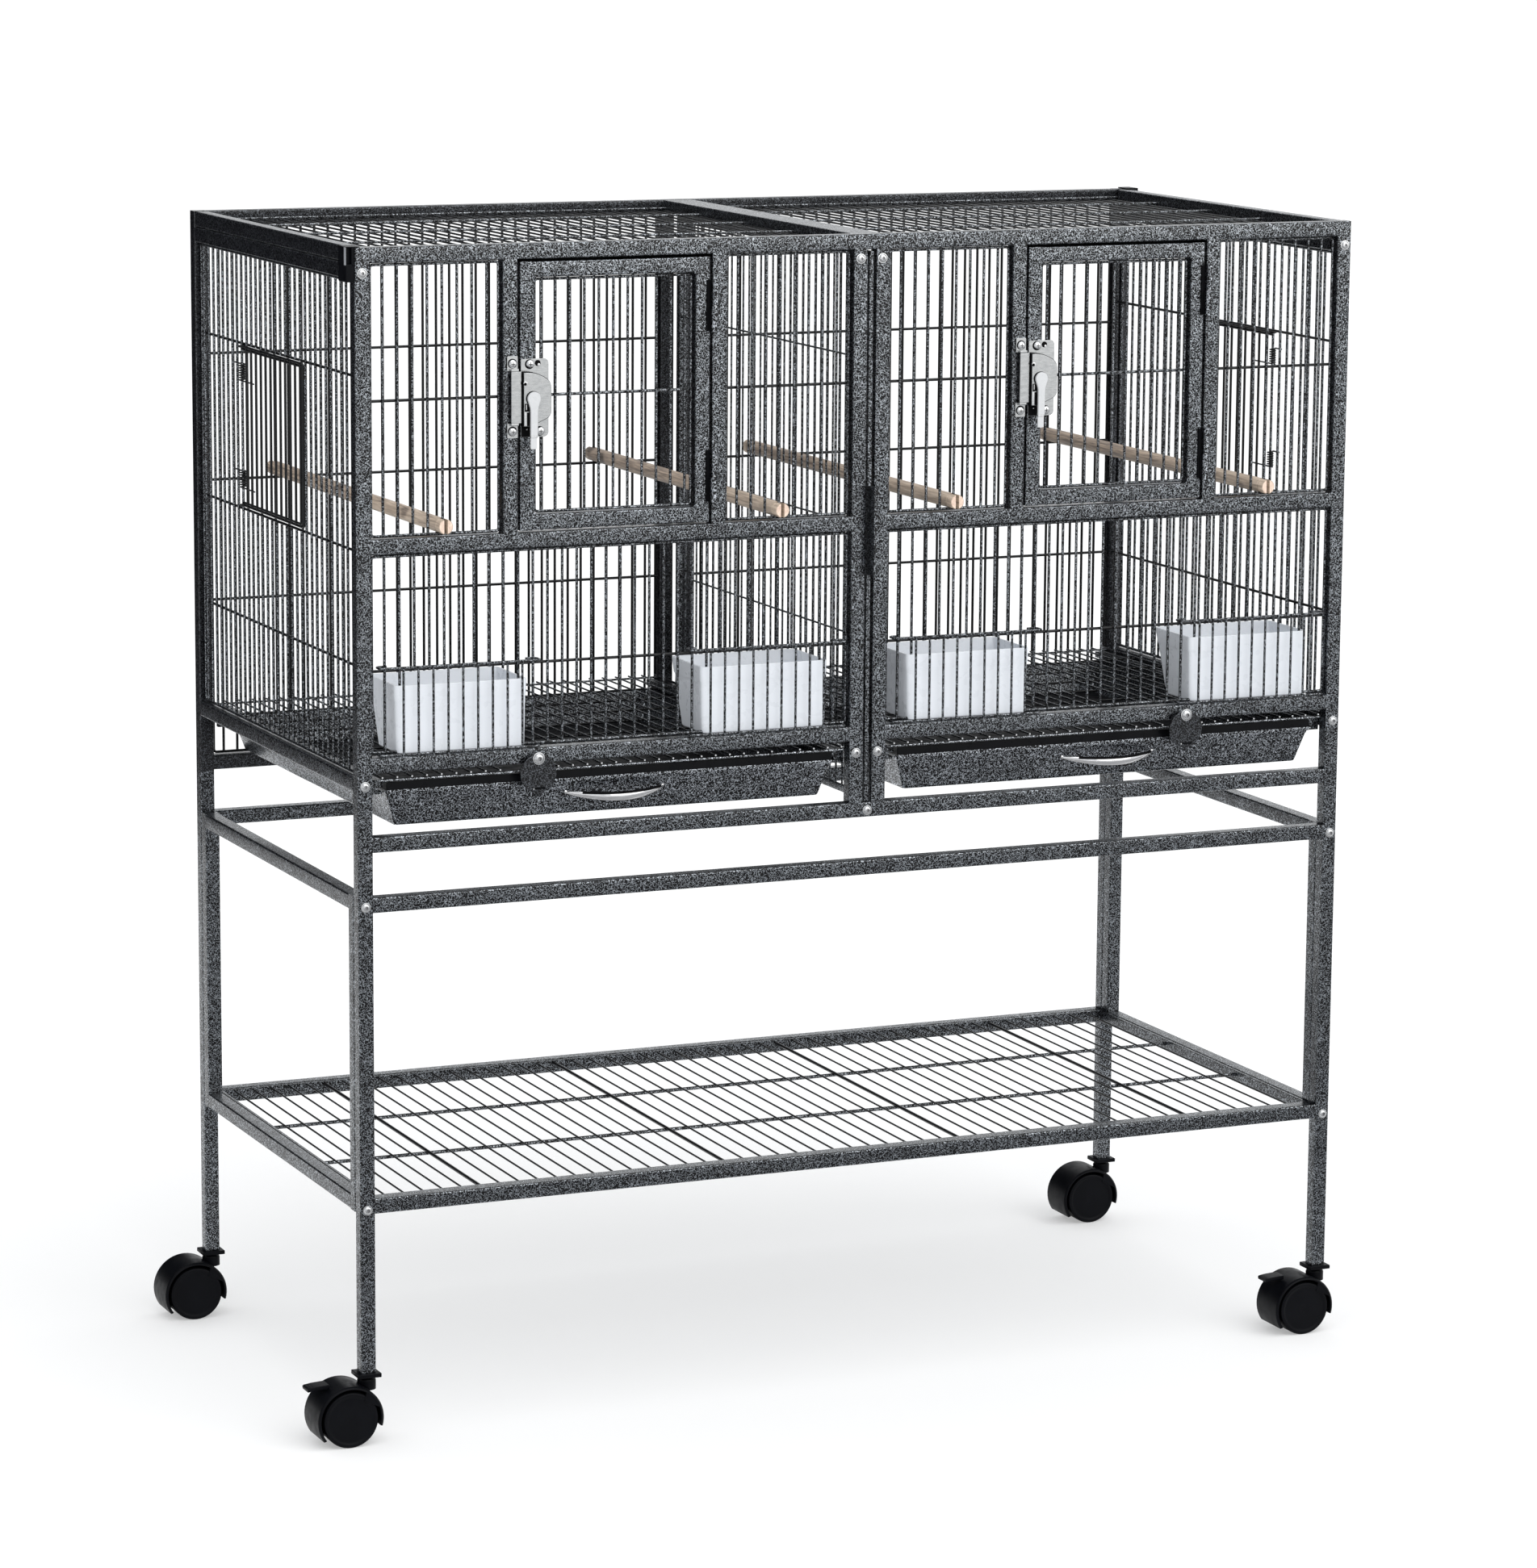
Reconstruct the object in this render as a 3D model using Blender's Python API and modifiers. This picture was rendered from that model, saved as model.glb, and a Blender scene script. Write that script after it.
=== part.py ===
"""Divided bird cage on a wheeled stand.

Places are measured from the outer front left foot of the frame: x to the right, y to the back and
z up from the floor.  `place` then moves them so that the middle of the footprint is the origin.
"""
import math

import bpy
import bmesh
from mathutils import Matrix, Vector

# Driving dimensions, in metres
WIDTH = 0.952
DEPTH = 0.451
HEIGHT = 1.035
TUBE = 0.0135
HALF = 0.480
WIRE = 0.0020
PITCH = 0.01348
GAP = 0.0003
BITE = 0.001
INSET = 0.0001

# Middle of the footprint, wheels and end caps included
CENTRE_X = 0.4553
CENTRE_Y = 0.2255

# Heights of the cage's rails
SEAM_Z = 0.5198
TOP_RAIL_Z = 1.0215
MID_RAIL_Z = 0.7752
FRONT_SILL_Z = 0.5883
LOWER_RAIL_Z = 0.5198
SIDE_TOP_Z = 1.0073
SIDE_SILL_Z = 0.5713

# Heights of the stand
STAND_RAIL_Z = 0.4675
SHELF_RAIL_Z = 0.2030
LEG_FOOT_Z = 0.0620
LEG_TOP_Z = 0.5195

# Places across one half of the front
CENTRE_POST_X = 0.4585
STILE_X = (0.1325, 0.3250)
BAY_X = (0.0135, 0.3385)
FIELD_FIRST_X = 0.0269
FIELD_WIRES = 32
FRONT_WIRE_Y = 0.0065
UPPER_CROSS_Z = 0.905
LOWER_CROSS_Z = 0.675
CROSS_STEP = WIRE + GAP

# Feed openings: the first wire of each opening's gate, and how many wires the gate has
GATE_FIRST = (1, 22)
GATE_WIRES = 9
PRONG_END_Z = 0.6615
GATE_Y = -0.0026
GATE_TOP_Z = 0.6785
GATE_FOOT_Z = 0.6038
GATE_ENDS_X = ((0.0190, 0.1665), (0.3045, 0.4546))

# Back and side grilles
BACK_WIRE_Y = 0.445
BACK_FIRST_X = 0.0257
BACK_PITCH = 0.013545
BACK_CROSS_Z = (0.905, 0.789, 0.678)
SIDE_WIRE_X = 0.006
SIDE_FIRST_Y = 0.0255
SIDE_PITCH = 0.01343
SIDE_WIRES = 31
SIDE_CROSS_Z = (0.925, 0.7765, 0.678)

# Nest door in each side
NEST_HINGE_WIRE = 22
NEST_EDGE_WIRE = 9
NEST_EDGE_Y = 0.153
NEST_TOP_Z = 0.923
NEST_FOOT_Z = 0.7805

# Front door, hinges and latch
DOOR_X = (0.1470, 0.3240)
DOOR_Z = (0.7903, 1.0203)
DOOR_FIRST_X = 0.1690
DOOR_PITCH = 0.0133
DOOR_WIRES = 11
HINGE_X = 0.32575
HINGE_Y = -0.0035
HINGE_SPANS = ((0.9545, 1.0004), (0.8069, 0.8535))
KNUCKLE_RADIUS = 0.0032
PIN_RADIUS = 0.0015
LATCH_X = 0.1584
LATCH_Z = 0.903

# Trays, grates and their locks
TRAY_MIDDLE_X = 0.236
TRAY_TOP = (0.4165, 0.007, 0.430)
TRAY_FLOOR = (0.3970, 0.014, 0.421)
TRAY_Z = (0.540, 0.5715)
SHEET = 0.001
RIM = 0.0035
RUNNER_Z = (0.568, 0.580)
GRATE_Y = (0.003, 0.4365)
LOCK_X = (0.162, 0.790)
LOCK_Z = 0.5935
LOCK_RADIUS = 0.0166

# Cups and perches
CUP_X = (0.0945, 0.3768)
CUP_TOP = (0.118, 0.003, 0.073)
CUP_FLOOR = (0.114, 0.003, 0.060)
CUP_Z = (0.6035, 0.6624)
CUP_WALL = 0.0018
CUP_CORNER = 0.0035
PERCH_X = (0.0798, 0.3914)
PERCH_Z = 0.797
PERCH_RADIUS = 0.0065

# Casters
LEG_AXIS = TUBE / 2
CASTER_TRAIL = 0.0207
WHEEL_RADIUS = 0.025
WHEEL_SIDES = (0.0055, 0.0197)
WHEEL_FACETS = 20
HOOD_RADII = (0.0275, 0.030)

SIDES = ("left", "right")
COLOURS = {
    "hammertone_steel": ((0.035, 0.038, 0.043), 0.45, 0.6),
    "zinc_steel": ((0.62, 0.62, 0.63), 0.30, 1.0),
    "chrome": ((0.75, 0.75, 0.76), 0.12, 1.0),
    "black_plastic": ((0.012, 0.012, 0.014), 0.45, 0.0),
    "white_plastic": ((0.78, 0.80, 0.85), 0.35, 0.0),
    "wood": ((0.62, 0.42, 0.26), 0.60, 0.0),
}


def place(x, y, z):
    return Vector((x - CENTRE_X, y - CENTRE_Y, z))


def clear_scene():
    for item in list(bpy.data.objects):
        bpy.data.objects.remove(item)


def collection(name):
    made = bpy.data.collections.new(name)
    bpy.context.scene.collection.children.link(made)
    return made


def make_material(name):
    colour, roughness, metallic = COLOURS[name]
    made = bpy.data.materials.new(name)
    made.use_nodes = True
    shader = made.node_tree.nodes["Principled BSDF"]
    shader.inputs["Base Color"].default_value = (*colour, 1.0)
    shader.inputs["Roughness"].default_value = roughness
    shader.inputs["Metallic"].default_value = metallic
    return made


# Bars are (x0, x1, y0, y1, z0, z1)

def upright(x, y, z0, z1, size=TUBE):
    return (x, x + size, y, y + size, z0, z1)


def rail_x(x0, x1, y, z, size=TUBE):
    return (x0 - BITE, x1 + BITE, y + INSET, y + size - INSET, z + INSET, z + size - INSET)


def wire_x(x0, x1, y, z, size=WIRE):
    half = size / 2
    return (x0 - BITE, x1 + BITE, y - half, y + half, z - half, z + half)


def wire_y(x, y0, y1, z, size=WIRE):
    half = size / 2
    return (x - half, x + half, y0 - BITE, y1 + BITE, z - half, z + half)


def wire_z(x, y, z0, z1, size=WIRE):
    half = size / 2
    return (x - half, x + half, y - half, y + half, z0 - BITE, z1 + BITE)


def shifted(bars, x):
    return [(b[0] + x, b[1] + x, *b[2:]) for b in bars]


def both_halves(bars):
    return bars + shifted(bars, HALF)


def turned(bars):
    """The same bars turned half round about the cage's upright middle line."""
    return [(WIDTH - b[1], WIDTH - b[0], DEPTH - b[3], DEPTH - b[2], b[4], b[5]) for b in bars]


def mirrored(bars):
    return [(WIDTH - b[1], WIDTH - b[0], *b[2:]) for b in bars]


def object_from(bm, name, pivot):
    mesh = bpy.data.meshes.new(name)
    bmesh.ops.translate(bm, verts=bm.verts, vec=-pivot)
    bm.to_mesh(mesh)
    bm.free()
    made = bpy.data.objects.new(name, mesh)
    made.location = pivot
    return made


def bars_mesh(bars):
    bm = bmesh.new()
    for x0, x1, y0, y1, z0, z1 in bars:
        centre = place((x0 + x1) / 2, (y0 + y1) / 2, (z0 + z1) / 2)
        size = Matrix.Diagonal((x1 - x0, y1 - y0, z1 - z0, 1.0))
        bmesh.ops.create_cube(bm, size=1.0, matrix=Matrix.Translation(centre) @ size)
    return bm


def rods_mesh(rods, sides):
    """Cylinders, each (start, end, radius)."""
    bm = bmesh.new()
    for start, end, radius in rods:
        start = place(*start)
        end = place(*end)
        along = end - start
        turn = Vector((0, 0, 1)).rotation_difference(along).to_matrix().to_4x4()
        bmesh.ops.create_cone(bm, cap_ends=True, segments=sides, radius1=radius, radius2=radius,
                              depth=along.length, matrix=Matrix.Translation((start + end) / 2) @ turn)
    return bm


def outline_mesh(outlines, y0, y1):
    """A flat plate across y from closed outlines of (x, z) points."""
    curve = bpy.data.curves.new("outline", "CURVE")
    curve.dimensions = "2D"
    curve.fill_mode = "BOTH"
    curve.extrude = (y1 - y0) / 2
    for outline in outlines:
        spline = curve.splines.new("POLY")
        spline.points.add(len(outline) - 1)
        spline.use_cyclic_u = True
        for point, (x, z) in zip(spline.points, outline):
            point.co = (x - CENTRE_X, z, 0.0, 1.0)
    flat = bpy.data.objects.new("outline", curve)
    tools.objects.link(flat)
    bpy.context.view_layer.update()
    evaluated = flat.evaluated_get(bpy.context.evaluated_depsgraph_get())
    mesh = bpy.data.meshes.new_from_object(evaluated)
    bm = bmesh.new()
    bm.from_mesh(mesh)
    bpy.data.meshes.remove(mesh)
    bpy.data.objects.remove(flat)
    stand_up = Matrix.Translation((0, (y0 + y1) / 2 - CENTRE_Y, 0)) @ Matrix.Rotation(math.pi / 2, 4, "X")
    bmesh.ops.transform(bm, matrix=stand_up, verts=bm.verts)
    bmesh.ops.remove_doubles(bm, verts=bm.verts, dist=1e-6)
    return bm


def arc(x, z, radius, start, end, steps):
    """Points on a circle in the x-z plane, angles in degrees from +x towards +z."""
    points = []
    for step in range(steps + 1):
        angle = math.radians(start + (end - start) * step / steps)
        points.append((x + radius * math.cos(angle), z + radius * math.sin(angle)))
    return points


def node(name, bm, material, pivot=(CENTRE_X, CENTRE_Y, 0.0)):
    made = object_from(bm, name, place(*pivot))
    made.data.materials.append(materials[material])
    cage.objects.link(made)
    return made


def shape(target, bm, operation="UNION"):
    """Join a shape to a node, or cut it away."""
    tool = object_from(bm, target.name + "_tool", Vector((0, 0, 0)))
    tools.objects.link(tool)
    tool.hide_render = True
    tool.display_type = "WIRE"
    step = target.modifiers.new(operation.lower(), "BOOLEAN")
    step.operation = operation
    step.solver = "EXACT"
    step.object = tool


def framework(name, groups, material="hammertone_steel", pivot=(CENTRE_X, CENTRE_Y, 0.0)):
    """One welded node from groups of bars; the bars inside a group don't meet."""
    made = node(name, bars_mesh(groups[0]), material, pivot)
    for group in groups[1:]:
        shape(made, bars_mesh(group))
    return made


def field_x(index):
    return FIELD_FIRST_X + PITCH * index


def side_y(index):
    return SIDE_FIRST_Y + SIDE_PITCH * index


# Cage

def lower_field_wires():
    """The lower wires of one half, cut short over the two feed openings."""
    wires = []
    for index in range(FIELD_WIRES):
        foot = FRONT_SILL_Z + TUBE
        for first in GATE_FIRST:
            last = first + GATE_WIRES - 1
            if first < index < last:
                foot = LOWER_CROSS_Z
            if index in (first, last):
                foot = PRONG_END_Z + BITE
        wires.append(wire_z(field_x(index), FRONT_WIRE_Y, foot, MID_RAIL_Z))
    return wires


def front_panel():
    top = TOP_RAIL_Z
    posts = [upright(x, 0, SEAM_Z, HEIGHT) for x in (0, WIDTH - TUBE)]
    posts += both_halves([(x, x + TUBE, 0, TUBE, MID_RAIL_Z + TUBE - BITE, top + BITE) for x in STILE_X])
    for x in (CENTRE_POST_X, WIDTH - CENTRE_POST_X - TUBE):
        posts.append((x, x + TUBE, 0, TUBE, LOWER_RAIL_Z + TUBE - BITE, top + BITE))
    rails = [rail_x(TUBE, WIDTH - TUBE, 0, z) for z in (top, LOWER_RAIL_Z)]
    rails += both_halves([rail_x(TUBE, CENTRE_POST_X, 0, z) for z in (MID_RAIL_Z, FRONT_SILL_Z)])
    wires = []
    for bay in BAY_X:
        for index in range(8):
            x = bay + 0.0127 + 0.0134 * index
            wires.append(wire_z(x, FRONT_WIRE_Y, MID_RAIL_Z + TUBE, top))
    wires = both_halves(wires + lower_field_wires())
    behind = FRONT_WIRE_Y + CROSS_STEP
    crossing = [wire_x(TUBE, STILE_X[0], behind, UPPER_CROSS_Z)]
    crossing.append(wire_x(BAY_X[1], CENTRE_POST_X, behind, UPPER_CROSS_Z))
    crossing.append(wire_x(TUBE, CENTRE_POST_X, behind, LOWER_CROSS_Z))
    panel = framework("front_panel", [posts, rails, wires, both_halves(crossing)])
    knuckles = []
    pins = []
    leaves = []
    for x in (HINGE_X, HINGE_X + HALF):
        for low, high in HINGE_SPANS:
            third = (high - low) / 3
            for z0, z1 in ((low, low + third), (high - third, high)):
                knuckles.append(((x, HINGE_Y, z0), (x, HINGE_Y, z1), KNUCKLE_RADIUS))
                leaves.append((x + 0.0005, x + 0.0095, -0.0022, BITE, z0 + BITE, z1 - BITE))
            pins.append(((x, HINGE_Y, low + third - BITE), (x, HINGE_Y, high - third + BITE), PIN_RADIUS))
    shape(panel, rods_mesh(knuckles, 10))
    shape(panel, rods_mesh(pins, 10))
    shape(panel, bars_mesh(leaves))
    bolts = [((x, BITE, LOCK_Z), (x, -0.0070, LOCK_Z), 0.0020) for x in LOCK_X]
    shape(panel, rods_mesh(bolts, 10))
    heads = [((x, -0.0058, LOCK_Z), (x, -0.0085, LOCK_Z), 0.0042) for x in LOCK_X]
    spacers = [((x, 0.0005, LOCK_Z), (x, -0.0037, LOCK_Z), 0.0040) for x in LOCK_X]
    shape(panel, rods_mesh(heads + spacers, 12))


def back_panel():
    y = DEPTH - TUBE
    posts = [upright(x, y, SEAM_Z, HEIGHT) for x in (0, WIDTH - TUBE)]
    for x in (CENTRE_POST_X, WIDTH - CENTRE_POST_X - TUBE):
        posts.append((x, x + TUBE, y, DEPTH, LOWER_RAIL_Z + TUBE - BITE, TOP_RAIL_Z + BITE))
    rails = [rail_x(TUBE, WIDTH - TUBE, y, z) for z in (TOP_RAIL_Z, LOWER_RAIL_Z)]
    wires = []
    for index in range(0, FIELD_WIRES, 2):
        x = BACK_FIRST_X + BACK_PITCH * index
        wires.append(wire_z(x, BACK_WIRE_Y, LOWER_RAIL_Z + TUBE, TOP_RAIL_Z))
    crossing = [wire_x(TUBE, CENTRE_POST_X, BACK_WIRE_Y - CROSS_STEP, z) for z in BACK_CROSS_Z]
    framework("back_panel", [posts, rails, both_halves(wires), both_halves(crossing)])


def side_panels():
    """The left panel, and the right one as the same panel turned half round."""
    y0 = TUBE + GAP
    y1 = DEPTH - TUBE - GAP
    rails = [(INSET, TUBE, y0, y1, z, z + TUBE) for z in (SIDE_TOP_Z, SIDE_SILL_Z)]
    wires = []
    for index in [*range(0, 9, 2), NEST_EDGE_WIRE, *range(NEST_HINGE_WIRE, SIDE_WIRES, 2)]:
        wires.append(wire_z(SIDE_WIRE_X, side_y(index), SIDE_SILL_Z + TUBE, SIDE_TOP_Z))
    for index in range(NEST_EDGE_WIRE + 2, NEST_HINGE_WIRE, 2):
        y = side_y(index)
        wires.append(wire_z(SIDE_WIRE_X, y, NEST_TOP_Z + 0.0024, SIDE_TOP_Z))
        wires.append(wire_z(SIDE_WIRE_X, y, SIDE_SILL_Z + TUBE, NEST_FOOT_Z - 0.0040))
    x = SIDE_WIRE_X + WIRE / 2
    ends = [(x - BITE, x + 0.0040, y, y + 0.0030, SIDE_SILL_Z + 0.001, SIDE_TOP_Z + 0.001)
            for y in (y0 + 0.0005, y1 - 0.0035)]
    crossing = [wire_y(x + GAP + WIRE / 2, y0 + 0.002, y1 - 0.002, z) for z in SIDE_CROSS_Z]
    groups = [rails, wires, ends, crossing]
    framework("left_panel", groups)
    framework("right_panel", [turned(group) for group in groups])


def tray_racks():
    """A channel along each side of each tray, which its rims hang in, and a bar that joins the two."""
    y0 = TUBE + GAP
    y1 = DEPTH - TUBE - GAP
    x0 = TUBE + GAP
    edge = TRAY_MIDDLE_X - TRAY_TOP[0] / 2 - GAP
    backs = [(x0, edge - RIM - 0.0010, y0, y1, RUNNER_Z[0], RUNNER_Z[1])]
    tops = [(x0 + BITE, edge, y0 + BITE, y1 - BITE, 0.5740, RUNNER_Z[1] - INSET)]
    lips = [(x0 + BITE, edge - 0.0006, y0 + BITE, y1 - BITE, RUNNER_Z[0] + INSET, 0.5698)]
    groups = []
    for bars in (backs, tops, lips):
        across = [(2 * TRAY_MIDDLE_X - b[1], 2 * TRAY_MIDDLE_X - b[0], *b[2:]) for b in bars]
        groups.append(bars + across)
    join_y = TRAY_TOP[2] + 0.0010
    tie = [(x0 + 0.002, 2 * TRAY_MIDDLE_X - x0 - 0.002, join_y, y1 - INSET, 0.5690, RUNNER_Z[1] - 0.0010)]
    groups.append(tie)
    framework("tray_rack_left", groups)
    framework("tray_rack_right", [shifted(group, HALF) for group in groups])


def roof():
    y0 = TUBE + GAP
    y1 = DEPTH - TUBE - GAP
    rails = [(0.0005, 0.0130, y0, 0.434, SIDE_TOP_Z + TUBE + 0.0004, HEIGHT - 0.0002)]
    across = []
    for y in (0.033, 0.138, 0.244, 0.348):
        across.append(wire_x(0.0130, 0.4615, y, 1.0252, 0.0022))
    ends = [(0.0120, 0.4625, y, y + 0.0022, 1.0241, 1.0293) for y in (y0 + 0.0004, 0.4310)]
    along = []
    for index in range(0, FIELD_WIRES + 1, 2):
        along.append(wire_y(BACK_FIRST_X + BACK_PITCH * index, y0 + 0.0022, 0.4314, 1.0277))
    bar = [(0.4615, WIDTH - 0.4615, y0, y1, 1.0218, HEIGHT - 0.0002)]
    groups = [rails + mirrored(rails) + bar]
    groups.append(across + mirrored(across))
    groups.append(ends + mirrored(ends))
    groups.append(along + mirrored(along))
    framework("roof", groups)


def divider():
    x0, x1 = 0.474, 0.478
    y0, y1 = 0.002, 0.437
    z0, z1 = 0.534, 1.020
    bars = [(x0, x1, y0, y0 + 0.008, z0, z1), (x0, x1, y1 - 0.008, y1, z0, z1)]
    rails = [(x0 + 0.0002, x1 - 0.0002, y0 + 0.007, y1 - 0.007, z, z + 0.006)
             for z in (z0 + 0.0002, z1 - 0.0062)]
    wires = [wire_z(0.4752, side_y(index), z0 + 0.006, z1 - 0.006) for index in range(0, SIDE_WIRES, 2)]
    crossing = [wire_y(0.4752 + CROSS_STEP * 0.9, y0 + 0.008, y1 - 0.008, z, 0.0016) for z in SIDE_CROSS_Z]
    pull = [(x0 + 0.0001, x1 - 0.0001, -0.0130, y0 + 0.002, 0.736, 0.815)]
    framework("divider", [bars, rails, wires, crossing, pull])


def end_caps():
    """Black caps over two opposite top corners."""
    block = [(-0.008, -GAP, -0.0008, 0.0188, 1.0063, 1.0360)]
    flange = [(-0.0079, 0.0046, -0.0006, 0.0186, HEIGHT + GAP, 1.0362)]
    framework("cap_front_left", [block, flange], "black_plastic")
    framework("cap_back_right", [turned(block), turned(flange)], "black_plastic")


# Stand

def stand_ends():
    for name, y in (("stand_front", 0), ("stand_back", DEPTH - TUBE)):
        legs = [upright(x, y, LEG_FOOT_Z, LEG_TOP_Z) for x in (0, WIDTH - TUBE)]
        rails = [rail_x(TUBE, WIDTH - TUBE, y, z) for z in (STAND_RAIL_Z, SHELF_RAIL_Z)]
        framework(name, [legs, rails])
    y0 = TUBE + GAP
    y1 = DEPTH - TUBE - GAP
    top = STAND_RAIL_Z + TUBE
    inner = [upright(0, y, SHELF_RAIL_Z, top) for y in (y0, y1 - TUBE)]
    rails = []
    for z in (STAND_RAIL_Z, SHELF_RAIL_Z):
        rails.append((INSET, TUBE - INSET, y0 + TUBE - BITE, y1 - TUBE + BITE, z + INSET, z + TUBE - INSET))
    framework("stand_left", [inner, rails])
    framework("stand_right", [turned(inner), turned(rails)])


def shelf():
    x0, x1 = TUBE + GAP, WIDTH - TUBE - GAP
    y0, y1 = TUBE + GAP, DEPTH - TUBE - GAP
    z0, z1 = 0.2075, 0.2160
    edge = 0.003
    ends = [(x, x + edge, y0, y1, z0, z1) for x in (x0, x1 - edge)]
    sides = [(x0 + BITE, x1 - BITE, y, y + edge, z0 + INSET, z1 - INSET)
             for y in (y0 + INSET, y1 - edge - INSET)]
    inside = (y0 + edge, y1 - edge)
    along = [wire_y(0.0393 + 0.0514 * step, *inside, 0.2142) for step in range(18)]
    bearers = [wire_y(x, *inside, 0.2136, 0.0032) for x in (0.127, 0.359, 0.592, 0.824)]
    across = [wire_x(x0 + edge, x1 - edge, y, 0.2100, 0.0034) for y in (0.155, 0.296)]
    framework("shelf", [ends, sides, along, bearers, across])


def caster(number, x, y, braked):
    axle_x = x - CASTER_TRAIL
    axle = (axle_x, y, WHEEL_RADIUS)
    inner, outer = HOOD_RADII
    z = WHEEL_RADIUS
    flange = [(x - 0.0105, x + 0.0105, y - 0.0105, y + 0.0105, 0.0580, LEG_FOOT_Z - GAP)]
    node(f"leg_plug_{number}", bars_mesh(flange), "black_plastic")
    hood = arc(axle_x, z, outer, -15, 215, 13) + arc(axle_x, z, inner, 215, -15, 13)
    body = node(f"caster_body_{number}", outline_mesh([hood], y - 0.020, y + 0.020), "black_plastic", (x, y, 0))
    web = arc(axle_x, z, 0.0284, -15, 215, 13)
    shape(body, outline_mesh([web], y - 0.0045, y + 0.0045))
    shape(body, rods_mesh([((x, y, 0.0470), (x, y, 0.0560), 0.0078)], 16))
    shape(body, rods_mesh([((x, y, 0.0550), (x, y, 0.0577), 0.0038)], 12))
    shape(body, rods_mesh([((axle_x, y - 0.006, z), (axle_x, y + 0.006, z), 0.0046)], 12), "DIFFERENCE")
    low, high = WHEEL_SIDES
    tread = WHEEL_RADIUS
    profile = [(0.0, -high), (0.020, -high), (tread, -high + 0.003), (tread, -low), (0.0042, -low)]
    profile += [(radius, -along) for radius, along in reversed(profile)]
    bm = bmesh.new()
    verts = [bm.verts.new((radius, 0.0, along)) for radius, along in reversed(profile)]
    for first, second in zip(verts, verts[1:]):
        bm.edges.new((first, second))
    bmesh.ops.spin(bm, geom=bm.verts[:] + bm.edges[:], cent=(0, 0, 0), axis=(0, 0, 1),
                   angle=math.tau, steps=WHEEL_FACETS, use_duplicate=False)
    bmesh.ops.remove_doubles(bm, verts=bm.verts, dist=1e-6)
    bmesh.ops.recalc_face_normals(bm, faces=bm.faces)
    lie = Matrix.Translation(place(*axle)) @ Matrix.Rotation(math.pi / 2, 4, "X")
    bmesh.ops.transform(bm, matrix=lie, verts=bm.verts)
    node(f"caster_wheels_{number}", bm, "black_plastic", axle)
    if braked:
        pivot_x, pivot_z = axle_x - 0.018, z + 0.0285
        paddle = [(pivot_x + 0.002, pivot_z - 0.0020), (pivot_x + 0.002, pivot_z + 0.0020),
                  (pivot_x - 0.010, pivot_z + 0.0012), (pivot_x - 0.0175, pivot_z + 0.0005),
                  (pivot_x - 0.0175, pivot_z - 0.0030), (pivot_x - 0.010, pivot_z - 0.0022)]
        node(f"brake_pedal_{number}", outline_mesh([paddle], y - 0.0075, y + 0.0075), "black_plastic",
             (pivot_x, y, pivot_z))


# Moving pieces

def front_door(side, shift):
    x0, x1 = DOOR_X[0] + shift, DOOR_X[1] + shift
    z0, z1 = DOOR_Z
    y0, y1 = 0.00015, TUBE - 0.00015
    stiles = [(x, x + TUBE, y0, y1, z0, z1) for x in (x0, x1 - TUBE)]
    rails = [(x0 + TUBE - BITE, x1 - TUBE + BITE, y0 + INSET, y1 - INSET, z + INSET, z + TUBE - INSET)
             for z in (z0, z1 - TUBE)]
    wires = [wire_z(DOOR_FIRST_X + DOOR_PITCH * index + shift, FRONT_WIRE_Y, z0 + TUBE, z1 - TUBE)
             for index in range(DOOR_WIRES)]
    crossing = [wire_x(x0 + TUBE, x1 - TUBE, FRONT_WIRE_Y + CROSS_STEP, UPPER_CROSS_Z)]
    axis_x = HINGE_X + shift
    door = framework(f"door_{side}", [stiles, rails, wires, crossing], pivot=(axis_x, HINGE_Y, 0.905))
    knuckles = []
    holes = []
    tabs = []
    for low, high in HINGE_SPANS:
        third = (high - low) / 3
        z0, z1 = low + third + 0.0004, high - third - 0.0004
        knuckles.append(((axis_x, HINGE_Y, z0), (axis_x, HINGE_Y, z1), KNUCKLE_RADIUS))
        holes.append(((axis_x, HINGE_Y, z0 - BITE), (axis_x, HINGE_Y, z1 + BITE), PIN_RADIUS + 0.0004))
        tabs.append((x1 - 0.009, x1 + 0.0008, -0.0024, BITE, z0 + BITE, z1 - BITE))
    shape(door, rods_mesh(knuckles, 10))
    shape(door, bars_mesh(tabs))
    shape(door, rods_mesh(holes, 10), "DIFFERENCE")


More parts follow.
